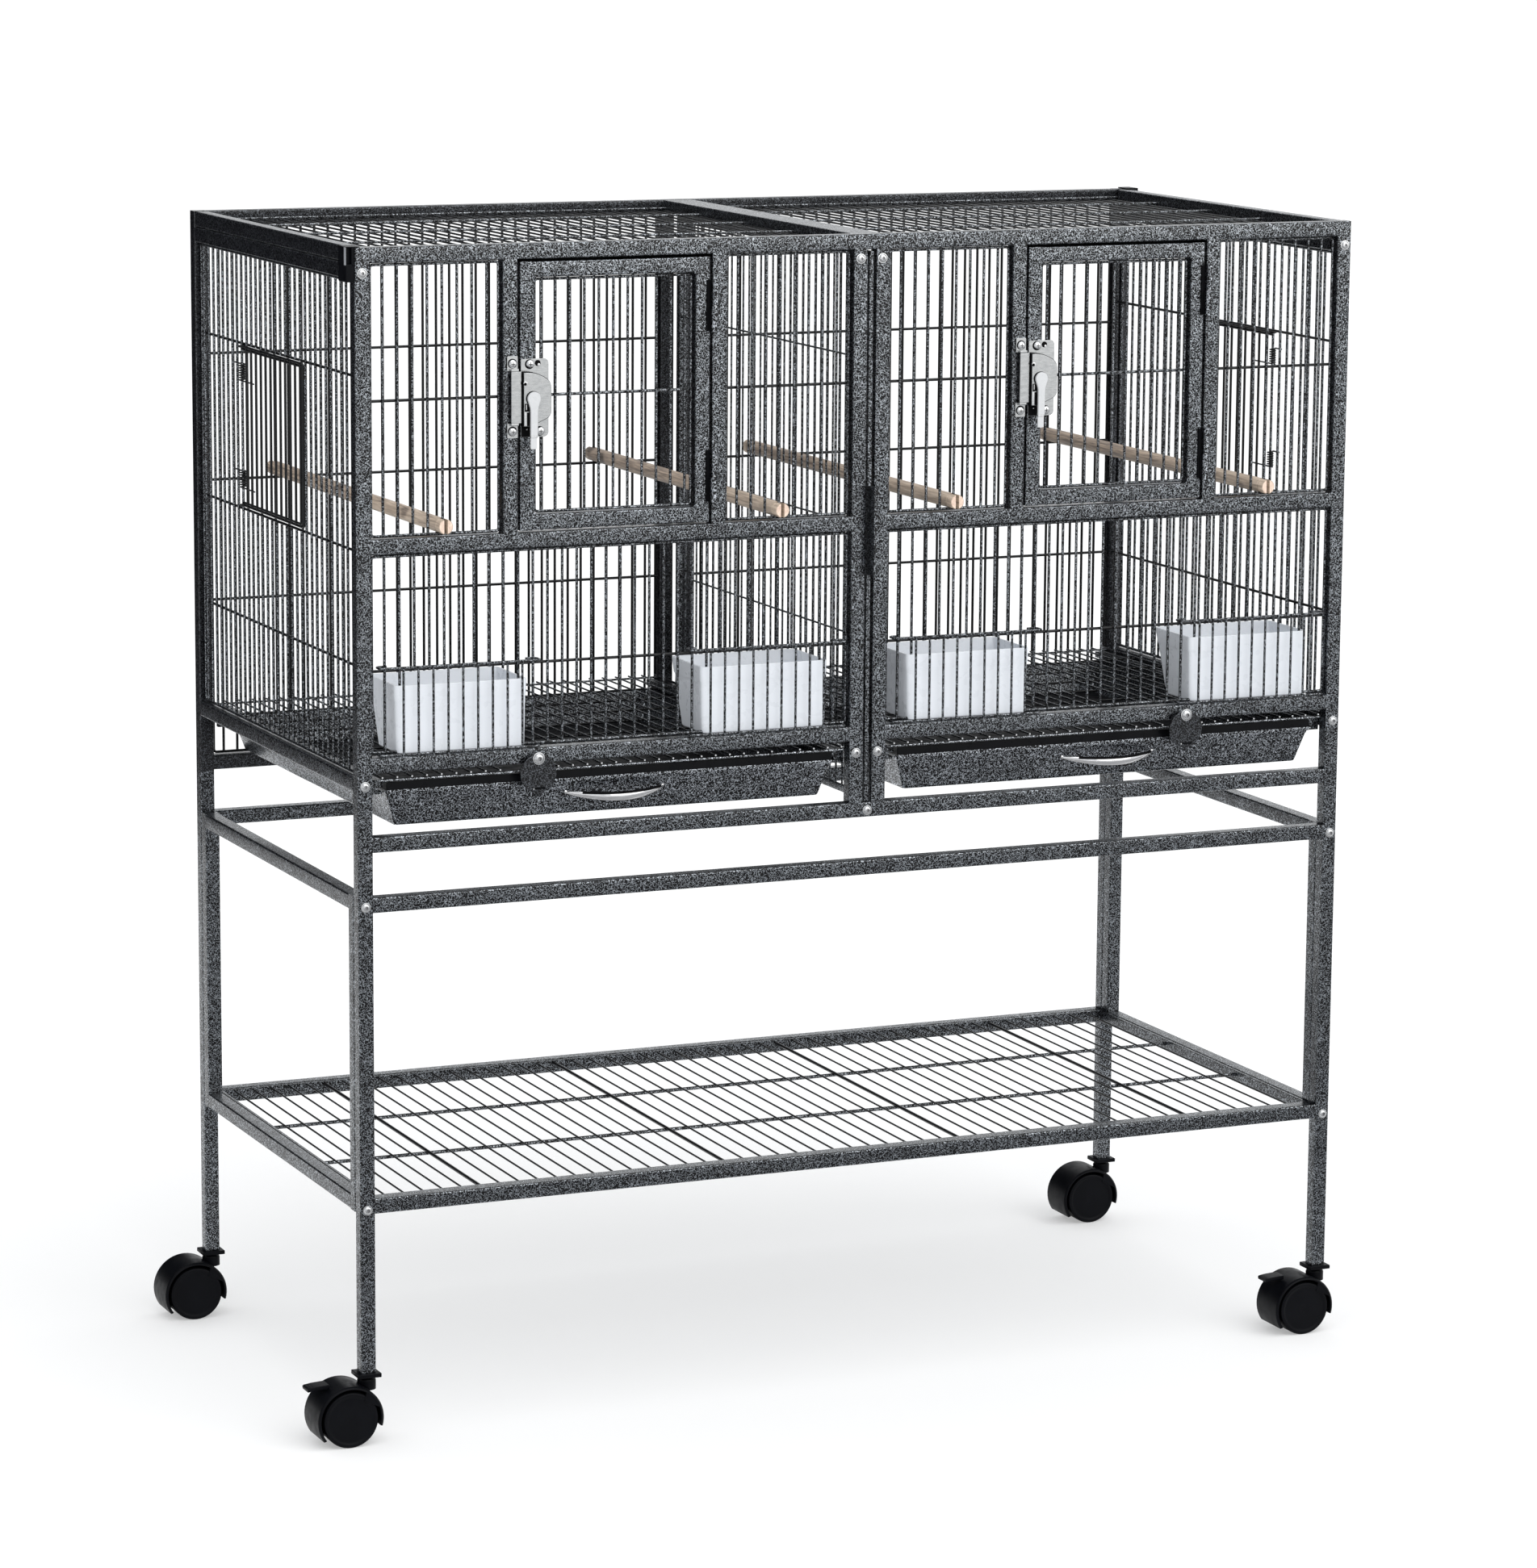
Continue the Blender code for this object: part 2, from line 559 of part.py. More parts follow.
def latch(side, shift):
    keeper = [(0.1355 + shift, 0.1452 + shift, -0.0015, -GAP, 0.870, 0.940)]
    strip = [(0.1380 + shift, 0.1474 + shift, -0.0050, -0.0038, 0.883, 0.927)]
    web = [(0.1383 + shift, 0.1398 + shift, -0.0045, -0.0010, 0.884, 0.926)]
    framework(f"keeper_{side}", [keeper, web, strip], "chrome")

    x = LATCH_X + shift
    plate = [(0.1480 + shift, 0.1730 + shift, -0.0013, -0.0002, 0.8705, 0.9373)]
    body = framework(f"latch_body_{side}", [plate], "chrome")
    left, right, radius = 0.1498 + shift, 0.1748 + shift, 0.012
    dome = [(left, 0.9265), (left, 0.8820)]
    dome += arc(right - radius, 0.8820 + radius, radius, -90, 0, 5)
    dome += arc(right - radius, 0.9265 - radius, radius, 0, 90, 5)
    shape(body, outline_mesh([dome], -0.0090, -0.0008))
    shape(body, bars_mesh([(left - 0.001, left + 0.0185, -0.0042, -0.0016, 0.8925, 0.9135)]), "DIFFERENCE")
    shape(body, rods_mesh([((x, -0.0100, LATCH_Z), (x, -0.0030, LATCH_Z), 0.0023)], 12), "DIFFERENCE")

    head = arc(x, LATCH_Z, 0.0056, -20, 200, 10)
    grip = head + [(x - 0.0030, 0.872), (x - 0.0022, 0.862), (x + 0.0028, 0.862), (x + 0.0036, 0.872)]
    lever = node(f"latch_lever_{side}", outline_mesh([grip], -0.0122, -0.0094), "chrome",
                 (x, -0.0108, LATCH_Z))
    shape(lever, rods_mesh([((x, -0.0100, LATCH_Z), (x, -0.0021, LATCH_Z), 0.0018)], 12))
    shape(lever, bars_mesh([(x - 0.0078, x + 0.0005, -0.0039, -0.0023, LATCH_Z - 0.003, LATCH_Z + 0.003)]))


def cup_gate(name, ends, first, shift):
    """Hinged on nothing: it slides up on hooks that reach behind two of the panel's wires."""
    x0, x1 = ends[0] + shift, ends[1] + shift
    rods = [(x0, x1, GATE_Y - 0.0005, GATE_Y + 0.0017, z - 0.0011, z + 0.0011)
            for z in (GATE_FOOT_Z, GATE_TOP_Z)]
    wires = []
    for index in range(first, first + GATE_WIRES):
        x = field_x(index) + shift
        wires.append((x - 0.001, x + 0.001, GATE_Y - 0.001, GATE_Y + 0.001, GATE_FOOT_Z, GATE_TOP_Z))
    returns = []
    hooks = []
    for z in (GATE_FOOT_Z, GATE_TOP_Z):
        for x, inward in ((x0, 1), (x1, -1)):
            centre = x + 0.0011 * inward
            returns.append((centre - 0.001, centre + 0.001, GATE_Y, 0.0100, z - 0.001, z + 0.001))
            tip = sorted((centre, centre + inward * 0.0110))
            hooks.append((*tip, 0.0082, 0.0098, z - 0.0008, z + 0.0008))
    framework(name, [rods, wires, returns, hooks], pivot=((x0 + x1) / 2, GATE_Y, GATE_FOOT_Z))


def tapered_shell(name, middle_x, top, floor, z, wall, corner, material):
    """An open box narrower at its floor, with rounded upright corners."""
    bm = bmesh.new()
    rings = []
    for (width, y0, y1), height in ((floor, z[0]), (top, z[1])):
        x0, x1 = middle_x - width / 2, middle_x + width / 2
        corners = [(x0, y0), (x1, y0), (x1, y1), (x0, y1)]
        rings.append([bm.verts.new(place(x, y, height)) for x, y in corners])
    bm.faces.new(reversed(rings[0]))
    walls = []
    for index in range(4):
        after = (index + 1) % 4
        bm.faces.new((rings[0][index], rings[0][after], rings[1][after], rings[1][index]))
        walls.append(bm.edges.get((rings[0][index], rings[1][index])))
    if corner:
        bmesh.ops.bevel(bm, geom=walls, offset=corner, segments=2, affect="EDGES", profile=0.5)
    shell = node(name, bm, material, (middle_x, (top[1] + top[2]) / 2, z[0]))
    thicken = shell.modifiers.new("wall", "SOLIDIFY")
    thicken.thickness = wall
    thicken.offset = -1.0
    thicken.use_even_offset = True
    return shell


def tray(side, shift):
    middle = TRAY_MIDDLE_X + shift
    pan = tapered_shell(f"tray_{side}", middle, TRAY_TOP, TRAY_FLOOR, TRAY_Z, SHEET, 0.0, "hammertone_steel")
    rim = TRAY_TOP[0] / 2
    rims = [(middle - rim - RIM, middle - rim + 0.0006, 0.009, 0.428, TRAY_Z[1] - 0.0012, TRAY_Z[1] - 0.0002),
            (middle + rim - 0.0006, middle + rim + RIM, 0.009, 0.428, TRAY_Z[1] - 0.0012, TRAY_Z[1] - 0.0002)]
    shape(pan, bars_mesh(rims))
    curve = bpy.data.curves.new("bow", "CURVE")
    curve.dimensions = "3D"
    curve.bevel_depth = 0.0026
    curve.bevel_resolution = 1
    curve.use_fill_caps = True
    spline = curve.splines.new("POLY")
    count = 9
    spline.points.add(count - 1)
    for step, point in enumerate(spline.points):
        share = step / (count - 1)
        x = middle - 0.049 + 0.098 * share
        y = 0.0060 - 0.0150 * math.sin(math.pi * share)
        point.co = (*place(x, y, 0.559), 1.0)
        point.radius = 0.55 + 0.45 * math.sin(math.pi * share)
    bow = bpy.data.objects.new("bow", curve)
    tools.objects.link(bow)
    bpy.context.view_layer.update()
    mesh = bpy.data.meshes.new_from_object(bow.evaluated_get(bpy.context.evaluated_depsgraph_get()))
    bm = bmesh.new()
    bm.from_mesh(mesh)
    bmesh.ops.remove_doubles(bm, verts=bm.verts, dist=1e-6)
    bpy.data.meshes.remove(mesh)
    bpy.data.objects.remove(bow)
    node(f"tray_handle_{side}", bm, "chrome", (middle, 0.006, 0.559))


def grate(side, shift, lock_x):
    """Coarse in the CAD model, with no bar in front of the lock disc."""
    x0, x1 = 0.0145 + shift, 0.4575 + shift
    y0, y1 = GRATE_Y
    low, high = RUNNER_Z[1] + GAP, 0.5850
    edge = 0.0024
    ends = [(x, x + edge, y0, y1, low, high) for x in (x0, x1 - edge)]
    sides = [(x0 + BITE, x1 - BITE, y, y + edge, low + INSET, high - INSET)
             for y in (y0 + INSET, y1 - edge - INSET)]
    along = []
    for index in range(1, 32, 3):
        x = 0.0235 + 0.0134 * index + shift
        if abs(x - lock_x) > LOCK_RADIUS + 0.003:
            along.append(wire_y(x, y0 + edge, y1 - edge, high - 0.0012))
    across = [wire_x(x0 + edge, x1 - edge, 0.0365 + 0.0275 * step, low + 0.0012) for step in range(15)]
    framework(f"grate_{side}", [ends, sides, along, across], pivot=((x0 + x1) / 2, y0, low))


def lock_disc(side, x):
    centre_z = LOCK_Z - 0.0133
    outline = arc(x, centre_z, LOCK_RADIUS, -80, 260, 22)
    outline += [(x - 0.0029, centre_z - 0.0200), (x + 0.0029, centre_z - 0.0200)]
    hole = arc(x, LOCK_Z, 0.0024, 0, 330, 11)
    node(f"lock_disc_{side}", outline_mesh([outline, hole], -0.0054, -0.0040), "hammertone_steel",
         (x, -0.0047, LOCK_Z))


def perch(number, x):
    rod = node(f"perch_{number}", rods_mesh([((x, -0.002, PERCH_Z), (x, 0.453, PERCH_Z), PERCH_RADIUS)], 14),
               "wood", (x, FRONT_WIRE_Y, PERCH_Z))
    low, high = PERCH_Z - 0.010, PERCH_Z + 0.010
    slots = [(x - 0.0016, x + 0.0016, y0, y1, low, high) for y0, y1 in ((-0.005, 0.011), (0.439, 0.456))]
    shape(rod, bars_mesh(slots), "DIFFERENCE")


def nest_door_groups():
    x = SIDE_WIRE_X
    hinge_y = side_y(NEST_HINGE_WIRE)
    y0, y1 = NEST_EDGE_Y, hinge_y - 0.004
    half = WIRE / 2
    rods = [(x - half, x + half, y0 - half, y1 + half, z - half, z + half) for z in (NEST_FOOT_Z, NEST_TOP_Z)]
    thin = half - INSET
    wires = [(x - thin, x + thin, y - thin, y + thin, NEST_FOOT_Z, NEST_TOP_Z)
             for y in (y0, y1, *(side_y(i) for i in range(NEST_EDGE_WIRE + 2, NEST_HINGE_WIRE, 2)))]
    return [rods, wires], hinge_y


def nest_doors():
    groups, hinge_y = nest_door_groups()
    framework("nest_door_left", groups, pivot=(SIDE_WIRE_X, hinge_y, NEST_FOOT_Z))
    framework("nest_door_right", [turned(group) for group in groups],
              pivot=(WIDTH - SIDE_WIRE_X, DEPTH - hinge_y, NEST_FOOT_Z))


def build():
    front_panel()
    back_panel()
    side_panels()
    tray_racks()
    roof()
    divider()
    end_caps()
    stand_ends()
    shelf()
    nest_doors()
    corners = [(LEG_AXIS, LEG_AXIS), (WIDTH - LEG_AXIS, LEG_AXIS),
               (LEG_AXIS, DEPTH - LEG_AXIS), (WIDTH - LEG_AXIS, DEPTH - LEG_AXIS)]
    for number, (x, y) in enumerate(corners, 1):
        caster(number, x, y, braked=number <= 2)
    for half, side in enumerate(SIDES):
        shift = HALF * half
        front_door(side, shift)
        latch(side, shift)
        tray(side, shift)
        grate(side, shift, LOCK_X[half])
        lock_disc(side, LOCK_X[half])
        for place_in_half in range(2):
            number = 2 * half + place_in_half + 1
            cup_gate(f"cup_gate_{number}", GATE_ENDS_X[place_in_half], GATE_FIRST[place_in_half], shift)
            tapered_shell(f"cup_{number}", CUP_X[place_in_half] + shift, CUP_TOP, CUP_FLOOR, CUP_Z, CUP_WALL,
                          CUP_CORNER, "white_plastic")
            perch(number, PERCH_X[place_in_half] + shift)


clear_scene()
cage = collection("bird_cage_on_stand")
tools = collection("shaping_tools")
materials = {name: make_material(name) for name in COLOURS}
build()
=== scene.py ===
"""The looks of a divided bird cage on a wheeled stand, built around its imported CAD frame.

Places are metres from the outer front left foot of the frame: x to the right, y to the back and
z up from the floor.  Piece.finish moves them into the frame's own place.
"""
import math

import bpy
import bmesh
from mathutils import Matrix, Vector


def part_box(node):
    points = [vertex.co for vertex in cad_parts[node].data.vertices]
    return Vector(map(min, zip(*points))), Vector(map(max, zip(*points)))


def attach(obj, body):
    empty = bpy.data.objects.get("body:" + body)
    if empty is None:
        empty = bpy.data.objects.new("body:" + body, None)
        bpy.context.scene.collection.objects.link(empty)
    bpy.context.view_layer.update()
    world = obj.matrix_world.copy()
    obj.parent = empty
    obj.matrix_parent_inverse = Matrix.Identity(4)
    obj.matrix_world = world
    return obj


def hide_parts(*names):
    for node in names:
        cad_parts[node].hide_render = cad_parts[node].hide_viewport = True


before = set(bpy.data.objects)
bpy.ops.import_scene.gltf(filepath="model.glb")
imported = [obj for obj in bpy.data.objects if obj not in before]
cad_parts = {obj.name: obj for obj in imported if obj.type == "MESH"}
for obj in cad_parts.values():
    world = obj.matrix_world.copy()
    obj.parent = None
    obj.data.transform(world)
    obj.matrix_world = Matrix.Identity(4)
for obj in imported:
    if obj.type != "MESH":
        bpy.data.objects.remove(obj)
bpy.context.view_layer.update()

SIDES = ("left", "right")

# The frame's own place and size
FRONT_LOW, FRONT_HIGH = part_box("stand_front")
ORIGIN = Vector((FRONT_LOW.x, FRONT_LOW.y, 0.0))
WIDTH = FRONT_HIGH.x - FRONT_LOW.x
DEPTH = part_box("stand_back")[1].y - FRONT_LOW.y
TUBE = FRONT_HIGH.y - FRONT_LOW.y
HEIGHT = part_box("front_panel")[1].z
HALF = 0.480
TUBE_ROUND = 0.0014
FORWARD, BACKWARD, UP = (0, -1, 0), (0, 1, 0), (0, 0, 1)

# Radii of the wires, and the gaps between their ends and the tubes
WIRE = 0.00130
GATE_WIRE = 0.00112
ROOF_WIRE = 0.00092
ROOF_CROSS_WIRE = 0.00105
GRATE_WIRE = 0.0010
EDGE = 0.0019
FOOT_GAP = 0.0034
HEAD_GAP = 0.0017

# Heights of the rails' undersides
SEAM_Z = 0.5198
TOP_RAIL_Z = 1.0215
MID_RAIL_Z = 0.7752
SILL_Z = 0.5883
LOWER_RAIL_Z = 0.5198
SIDE_TOP_Z = 1.0073
SIDE_SILL_Z = 0.5713
STAND_RAIL_Z = 0.4675
SHELF_RAIL_Z = 0.2030
SHELF_FIRST_X = 0.1177
SHELF_PITCH = 0.01781
SHELF_STEPS = range(-5, 46)
SHELF_THICK_EVERY = 13
LEG_FOOT_Z = FRONT_LOW.z
LEG_TOP_Z = 0.5195

# Across one half of the front
CENTRE_POST_X = 0.4585
STILE_X = (0.1325, 0.3250)
BAYS = ((0.0135, 0.1325), (0.3385, 0.4585))
FRONT_WIRE_Y = 0.0065
FIELD_FIRST_X = 0.0269
PITCH = 0.01348
FIELD_WIRES = 32
BAY_FIRST = 0.0127
BAY_PITCH = 0.0134
BAY_WIRES = 8
UPPER_CROSS_Z = 0.905
LOWER_CROSS_Z = 0.675
GATE_FIRST = (1, 22)
GATE_WIRES = 9
PRONG_END_Z = 0.6615

# Back and side grilles
BACK_WIRE_Y = 0.445
BACK_FIRST_X = 0.0250
BACK_PITCH = 0.013155
BACK_WIRES = 33
BACK_RIGHT_SHARE = 0.9967
ROOF_PITCH = 0.01355
BACK_CROSS_Z = (0.905, 0.789, 0.678)
SIDE_WIRE_X = 0.006
SIDE_FIRST_Y = 0.0255
SIDE_PITCH = 0.01343
SIDE_WIRES = 31
SIDE_CROSS_Z = (0.925, 0.7765, 0.678)
NEST_HINGE_WIRE = 22
NEST_EDGE_WIRE = 9
NEST_EDGE_Y = 0.153
NEST_TOP_Z = 0.923
NEST_FOOT_Z = 0.7805

# Doors, trays, cups, perches
DOOR_X = (0.1470, 0.3240)
DOOR_Z = (0.7903, 1.0203)
DOOR_FIRST_X = 0.1690
DOOR_PITCH = 0.0133
DOOR_WIRES = 11
HINGE_X = 0.32575
HINGE_Y = -0.0035
HINGE_SPANS = ((0.9545, 1.0004), (0.8069, 0.8535))
LATCH_X = 0.1584
LATCH_Z = 0.903
GATE_Y = -0.0026
GATE_TOP_Z = 0.6785
GATE_FOOT_Z = 0.6038
GATE_ENDS_X = ((0.0190, 0.1665), (0.3045, 0.4546))
TRAY_MIDDLE_X = 0.236
TRAY_TOP = (0.4165, 0.007, 0.430)
TRAY_FLOOR = (0.3970, 0.014, 0.421)
TRAY_Z = (0.540, 0.5715)
RUNNER_Z = (0.568, 0.580)
GRATE_FIRST_X = 0.0235
GRATE_PITCH = 0.0134
GRATE_WIRES = 33
GRATE_CROSS_FIRST = 0.050
GRATE_CROSS_PITCH = 0.054
GRATE_CROSS_WIRES = 7
LOCK_X = (0.162, 0.790)
LOCK_Z = 0.5935
LOCK_RADIUS = 0.0166
CUP_X = (0.0952, 0.3775)
CUP_TOP = (0.1192, 0.003, 0.073)
CUP_FLOOR = (0.1166, 0.003, 0.053)
CUP_Z = (0.6035, 0.6624)
PERCH_X = (0.0798, 0.3914)
PERCH_LEAN = (-0.0022, 0.0019)
PERCH_RIGHT_LEAN = -0.0016
PERCH_Z = 0.797
PERCH_RADIUS = 0.0065

# Casters
CASTER_TRAIL = 0.0207
WHEEL_RADIUS = 0.025


# Camera, floor and light

def add_camera():
    lens = bpy.data.cameras.new("camera")
    lens.sensor_fit = "HORIZONTAL"
    lens.sensor_width = 36.0
    lens.lens = 126.71
    lens.clip_end = 400.0
    camera = bpy.data.objects.new("camera", lens)
    camera.location = ORIGIN + Vector((-1.4978, -4.2751, 1.3982))
    camera.rotation_euler = (1.3923, -0.0071, -0.4127)
    bpy.context.scene.collection.objects.link(camera)
    bpy.context.scene.camera = camera


def stage_plane(name, size, location, turn, material):
    mesh = bpy.data.meshes.new(name)
    half = [side / 2 for side in size]
    corners = [(-half[0], -half[1], 0), (half[0], -half[1], 0), (half[0], half[1], 0),
               (-half[0], half[1], 0)]
    mesh.from_pydata(corners, [], [(0, 1, 2, 3)])
    mesh.materials.append(material)
    made = bpy.data.objects.new(name, mesh)
    made.location = location
    made.rotation_euler = turn
    bpy.context.scene.collection.objects.link(made)
    return made


def add_world():
    world = bpy.data.worlds.new("studio")
    bpy.context.scene.world = world
    world.use_nodes = True
    world.node_tree.nodes["Background"].inputs["Color"].default_value = (0.97, 0.985, 1.0, 1.0)
    world.node_tree.nodes["Background"].inputs["Strength"].default_value = 0.95


def add_sun(name, strength, angle, turn):
    light = bpy.data.lights.new(name, "SUN")
    light.energy = strength
    light.angle = math.radians(angle)
    made = bpy.data.objects.new(name, light)
    made.rotation_euler = [math.radians(part) for part in turn]
    bpy.context.scene.collection.objects.link(made)


add_camera()


# Materials

class Finish:
    """A procedural material: a Principled shader and a few nodes in the object's own space."""

    def __init__(self, name, roughness, metallic=0.0):
        self.material = bpy.data.materials.new(name)
        self.material.use_nodes = True
        self.tree = self.material.node_tree
        self.shader = self.tree.nodes["Principled BSDF"]
        self.shader.inputs["Roughness"].default_value = roughness
        self.shader.inputs["Metallic"].default_value = metallic
        self.place = self.tree.nodes.new("ShaderNodeTexCoord").outputs["Object"]

    def stretch(self, scale):
        """The object's space, stretched by a factor along each axis."""
        mapping = self.tree.nodes.new("ShaderNodeMapping")
        mapping.inputs["Scale"].default_value = scale
        self.tree.links.new(self.place, mapping.inputs["Vector"])
        return mapping.outputs["Vector"]

    def noise(self, scale, detail=2.0, distortion=0.0, space=None):
        made = self.tree.nodes.new("ShaderNodeTexNoise")
        made.inputs["Scale"].default_value = scale
        made.inputs["Detail"].default_value = detail
        made.inputs["Distortion"].default_value = distortion
        self.tree.links.new(space or self.place, made.inputs["Vector"])
        return made.outputs["Fac"]

    def cells(self, scale, space=None):
        made = self.tree.nodes.new("ShaderNodeTexVoronoi")
        made.inputs["Scale"].default_value = scale
        self.tree.links.new(space or self.place, made.inputs["Vector"])
        return made.outputs["Distance"]

    def maths(self, operation, first, second=None):
        made = self.tree.nodes.new("ShaderNodeMath")
        made.operation = operation
        for socket, value in zip(made.inputs, (first, second)):
            if value is None:
                continue
            if isinstance(value, (int, float)):
                socket.default_value = value
            else:
                self.tree.links.new(value, socket)
        return made.outputs[0]

    def remap(self, value, start, end, low=0.0, high=1.0):
        made = self.tree.nodes.new("ShaderNodeMapRange")
        made.interpolation_type = "SMOOTHSTEP"
        settings = (("From Min", start), ("From Max", end), ("To Min", low), ("To Max", high))
        for name, number in settings:
            made.inputs[name].default_value = number
        self.tree.links.new(value, made.inputs["Value"])
        return made.outputs["Result"]

    def colours(self, value, *stops):
        """A colour ramp; each stop is (place, (red, green, blue))."""
        made = self.tree.nodes.new("ShaderNodeValToRGB")
        elements = made.color_ramp.elements
        while len(elements) < len(stops):
            elements.new(0.5)
        for element, (place, colour) in zip(elements, stops):
            element.position = place
            element.color = (*colour, 1.0)
        self.tree.links.new(value, made.inputs["Fac"])
        self.link(made.outputs["Color"], "Base Color")

    def link(self, value, socket):
        self.tree.links.new(value, self.shader.inputs[socket])

    def bump(self, height, depth, strength=1.0):
        made = self.tree.nodes.new("ShaderNodeBump")
        made.inputs["Distance"].default_value = depth
        made.inputs["Strength"].default_value = strength
        self.tree.links.new(height, made.inputs["Height"])
        self.link(made.outputs["Normal"], "Normal")


def hammertone(name, scale, shine):
    """Black powder coat with worm-like silver veins."""
    made = Finish(name, 0.36)
    veins = made.maths("ABSOLUTE", made.maths("SUBTRACT", made.noise(scale, 1.0, 0.35), 0.5))
    drift = made.noise(60.0, 2.0)
    width = made.remap(drift, 0.30, 0.70, 0.050, 0.066)
    mask = made.remap(made.maths("DIVIDE", veins, width), 0.25, 1.0, 1.0, 0.0)
    made.colours(mask, (0.0, (0.0035, 0.0037, 0.0045)), (0.30, (0.035, 0.038, 0.043)), (1.0, shine))
    made.link(made.remap(mask, 0.05, 0.60), "Metallic")
    made.link(made.remap(mask, 0.0, 1.0, 0.34, 0.28), "Roughness")
    made.shader.inputs["Specular IOR Level"].default_value = 0.06
    made.shader.inputs["Coat Weight"].default_value = 0.42
    made.shader.inputs["Coat Roughness"].default_value = 0.16
    made.bump(mask, 0.00008, 0.5)
    return made.material


def bright_metal(name, colour, roughness, streak):
    made = Finish(name, roughness, 1.0)
    dark = [channel * 0.80 for channel in colour]
    grain = made.noise(900.0, 3.0, 0.0, made.stretch(streak))
    made.colours(grain, (0.30, dark), (0.65, colour))
    made.link(made.remap(made.noise(260.0, 3.0), 0.3, 0.7, roughness * 0.75, roughness * 1.35), "Roughness")
    made.bump(grain, 0.00002, 0.5)
    return made.material


def moulded(name, colour, roughness, bump_depth, variation, shine=0.5):
    """Moulded plastic with a faint texture and a slow drift of tone."""
    made = Finish(name, roughness)
    made.shader.inputs["Specular IOR Level"].default_value = shine
    low = [channel * (1.0 - variation) for channel in colour]
    high = [min(1.0, channel * (1.0 + variation)) for channel in colour]
    made.colours(made.noise(38.0, 4.0), (0.30, low), (0.70, high))
    fine = made.noise(1500.0, 2.0)
    made.link(made.remap(made.noise(120.0, 3.0), 0.3, 0.7, roughness * 0.85, roughness * 1.2), "Roughness")
    made.bump(fine, bump_depth, 0.5)
    return made.material


def pale_wood():
    """Straight-grained wood along y, with a few darker knots, and painted shade that makes the back greyer
    and darker.
    """
    made = Finish("perch_wood", 0.55)
    along = made.stretch((1.0, 0.055, 1.0))
    grain = made.noise(620.0, 5.0, 0.5, along)
    knots = made.cells(26.0, made.stretch((1.0, 0.75, 1.0)))
    knot = made.remap(knots, 0.10, 0.24, -0.30, 0.0)
    split = made.tree.nodes.new("ShaderNodeSeparateXYZ")
    made.tree.links.new(made.place, split.inputs[0])
    # painted shade: the wood turns darker and greyer towards the back, where the perches lie in shade
    back_shade = made.remap(split.outputs[1], -0.17, 0.10, 0.0, -0.20)
    tone = made.maths("ADD", made.maths("ADD", grain, knot), back_shade)
    made.colours(tone, (0.0, (0.11, 0.088, 0.072)), (0.22, (0.27, 0.212, 0.172)),
                 (0.42, (0.50, 0.392, 0.300)),
                 (0.66, (0.72, 0.59, 0.47)))
    made.link(made.remap(grain, 0.3, 0.7, 0.48, 0.68), "Roughness")
    made.bump(grain, 0.00008, 0.6)
    return made.material


def end_grain():
    made = Finish("perch_end_grain", 0.65)
    rings = made.noise(900.0, 3.0, 1.2, made.stretch((1.0, 0.1, 0.35)))
    made.colours(rings, (0.30, (0.62, 0.43, 0.33)), (0.65, (0.84, 0.68, 0.56)))
    made.bump(rings, 0.00008, 0.5)
    return made.material


def plain_floor():
    made = Finish("floor", 0.9)
    made.colours(made.noise(0.6, 1.0), (0.0, (0.62, 0.62, 0.62)), (1.0, (0.63, 0.63, 0.63)))
    made.shader.inputs["Emission Color"].default_value = (1.0, 1.0, 1.0, 1.0)
    made.shader.inputs["Emission Strength"].default_value = 0.34
    made.shader.inputs["Specular IOR Level"].default_value = 0.0
    return made.material


def card(name, low, high):
    """A flat tone without gloss, for the planes that only reflections see."""
    made = Finish(name, 0.9)
    made.colours(made.noise(1.0, 1.0), (0.0, low), (1.0, high))
    made.shader.inputs["Specular IOR Level"].default_value = 0.0
    return made.material


def bright_card():
    made = Finish("bright_card", 0.9)
    glow = made.remap(made.noise(0.8, 1.0), 0.2, 0.8, 2.25, 2.45)
    made.shader.inputs["Base Color"].default_value = (0.0, 0.0, 0.0, 1.0)
    made.shader.inputs["Emission Color"].default_value = (1.0, 0.99, 0.97, 1.0)
    made.link(glow, "Emission Strength")
    return made.material


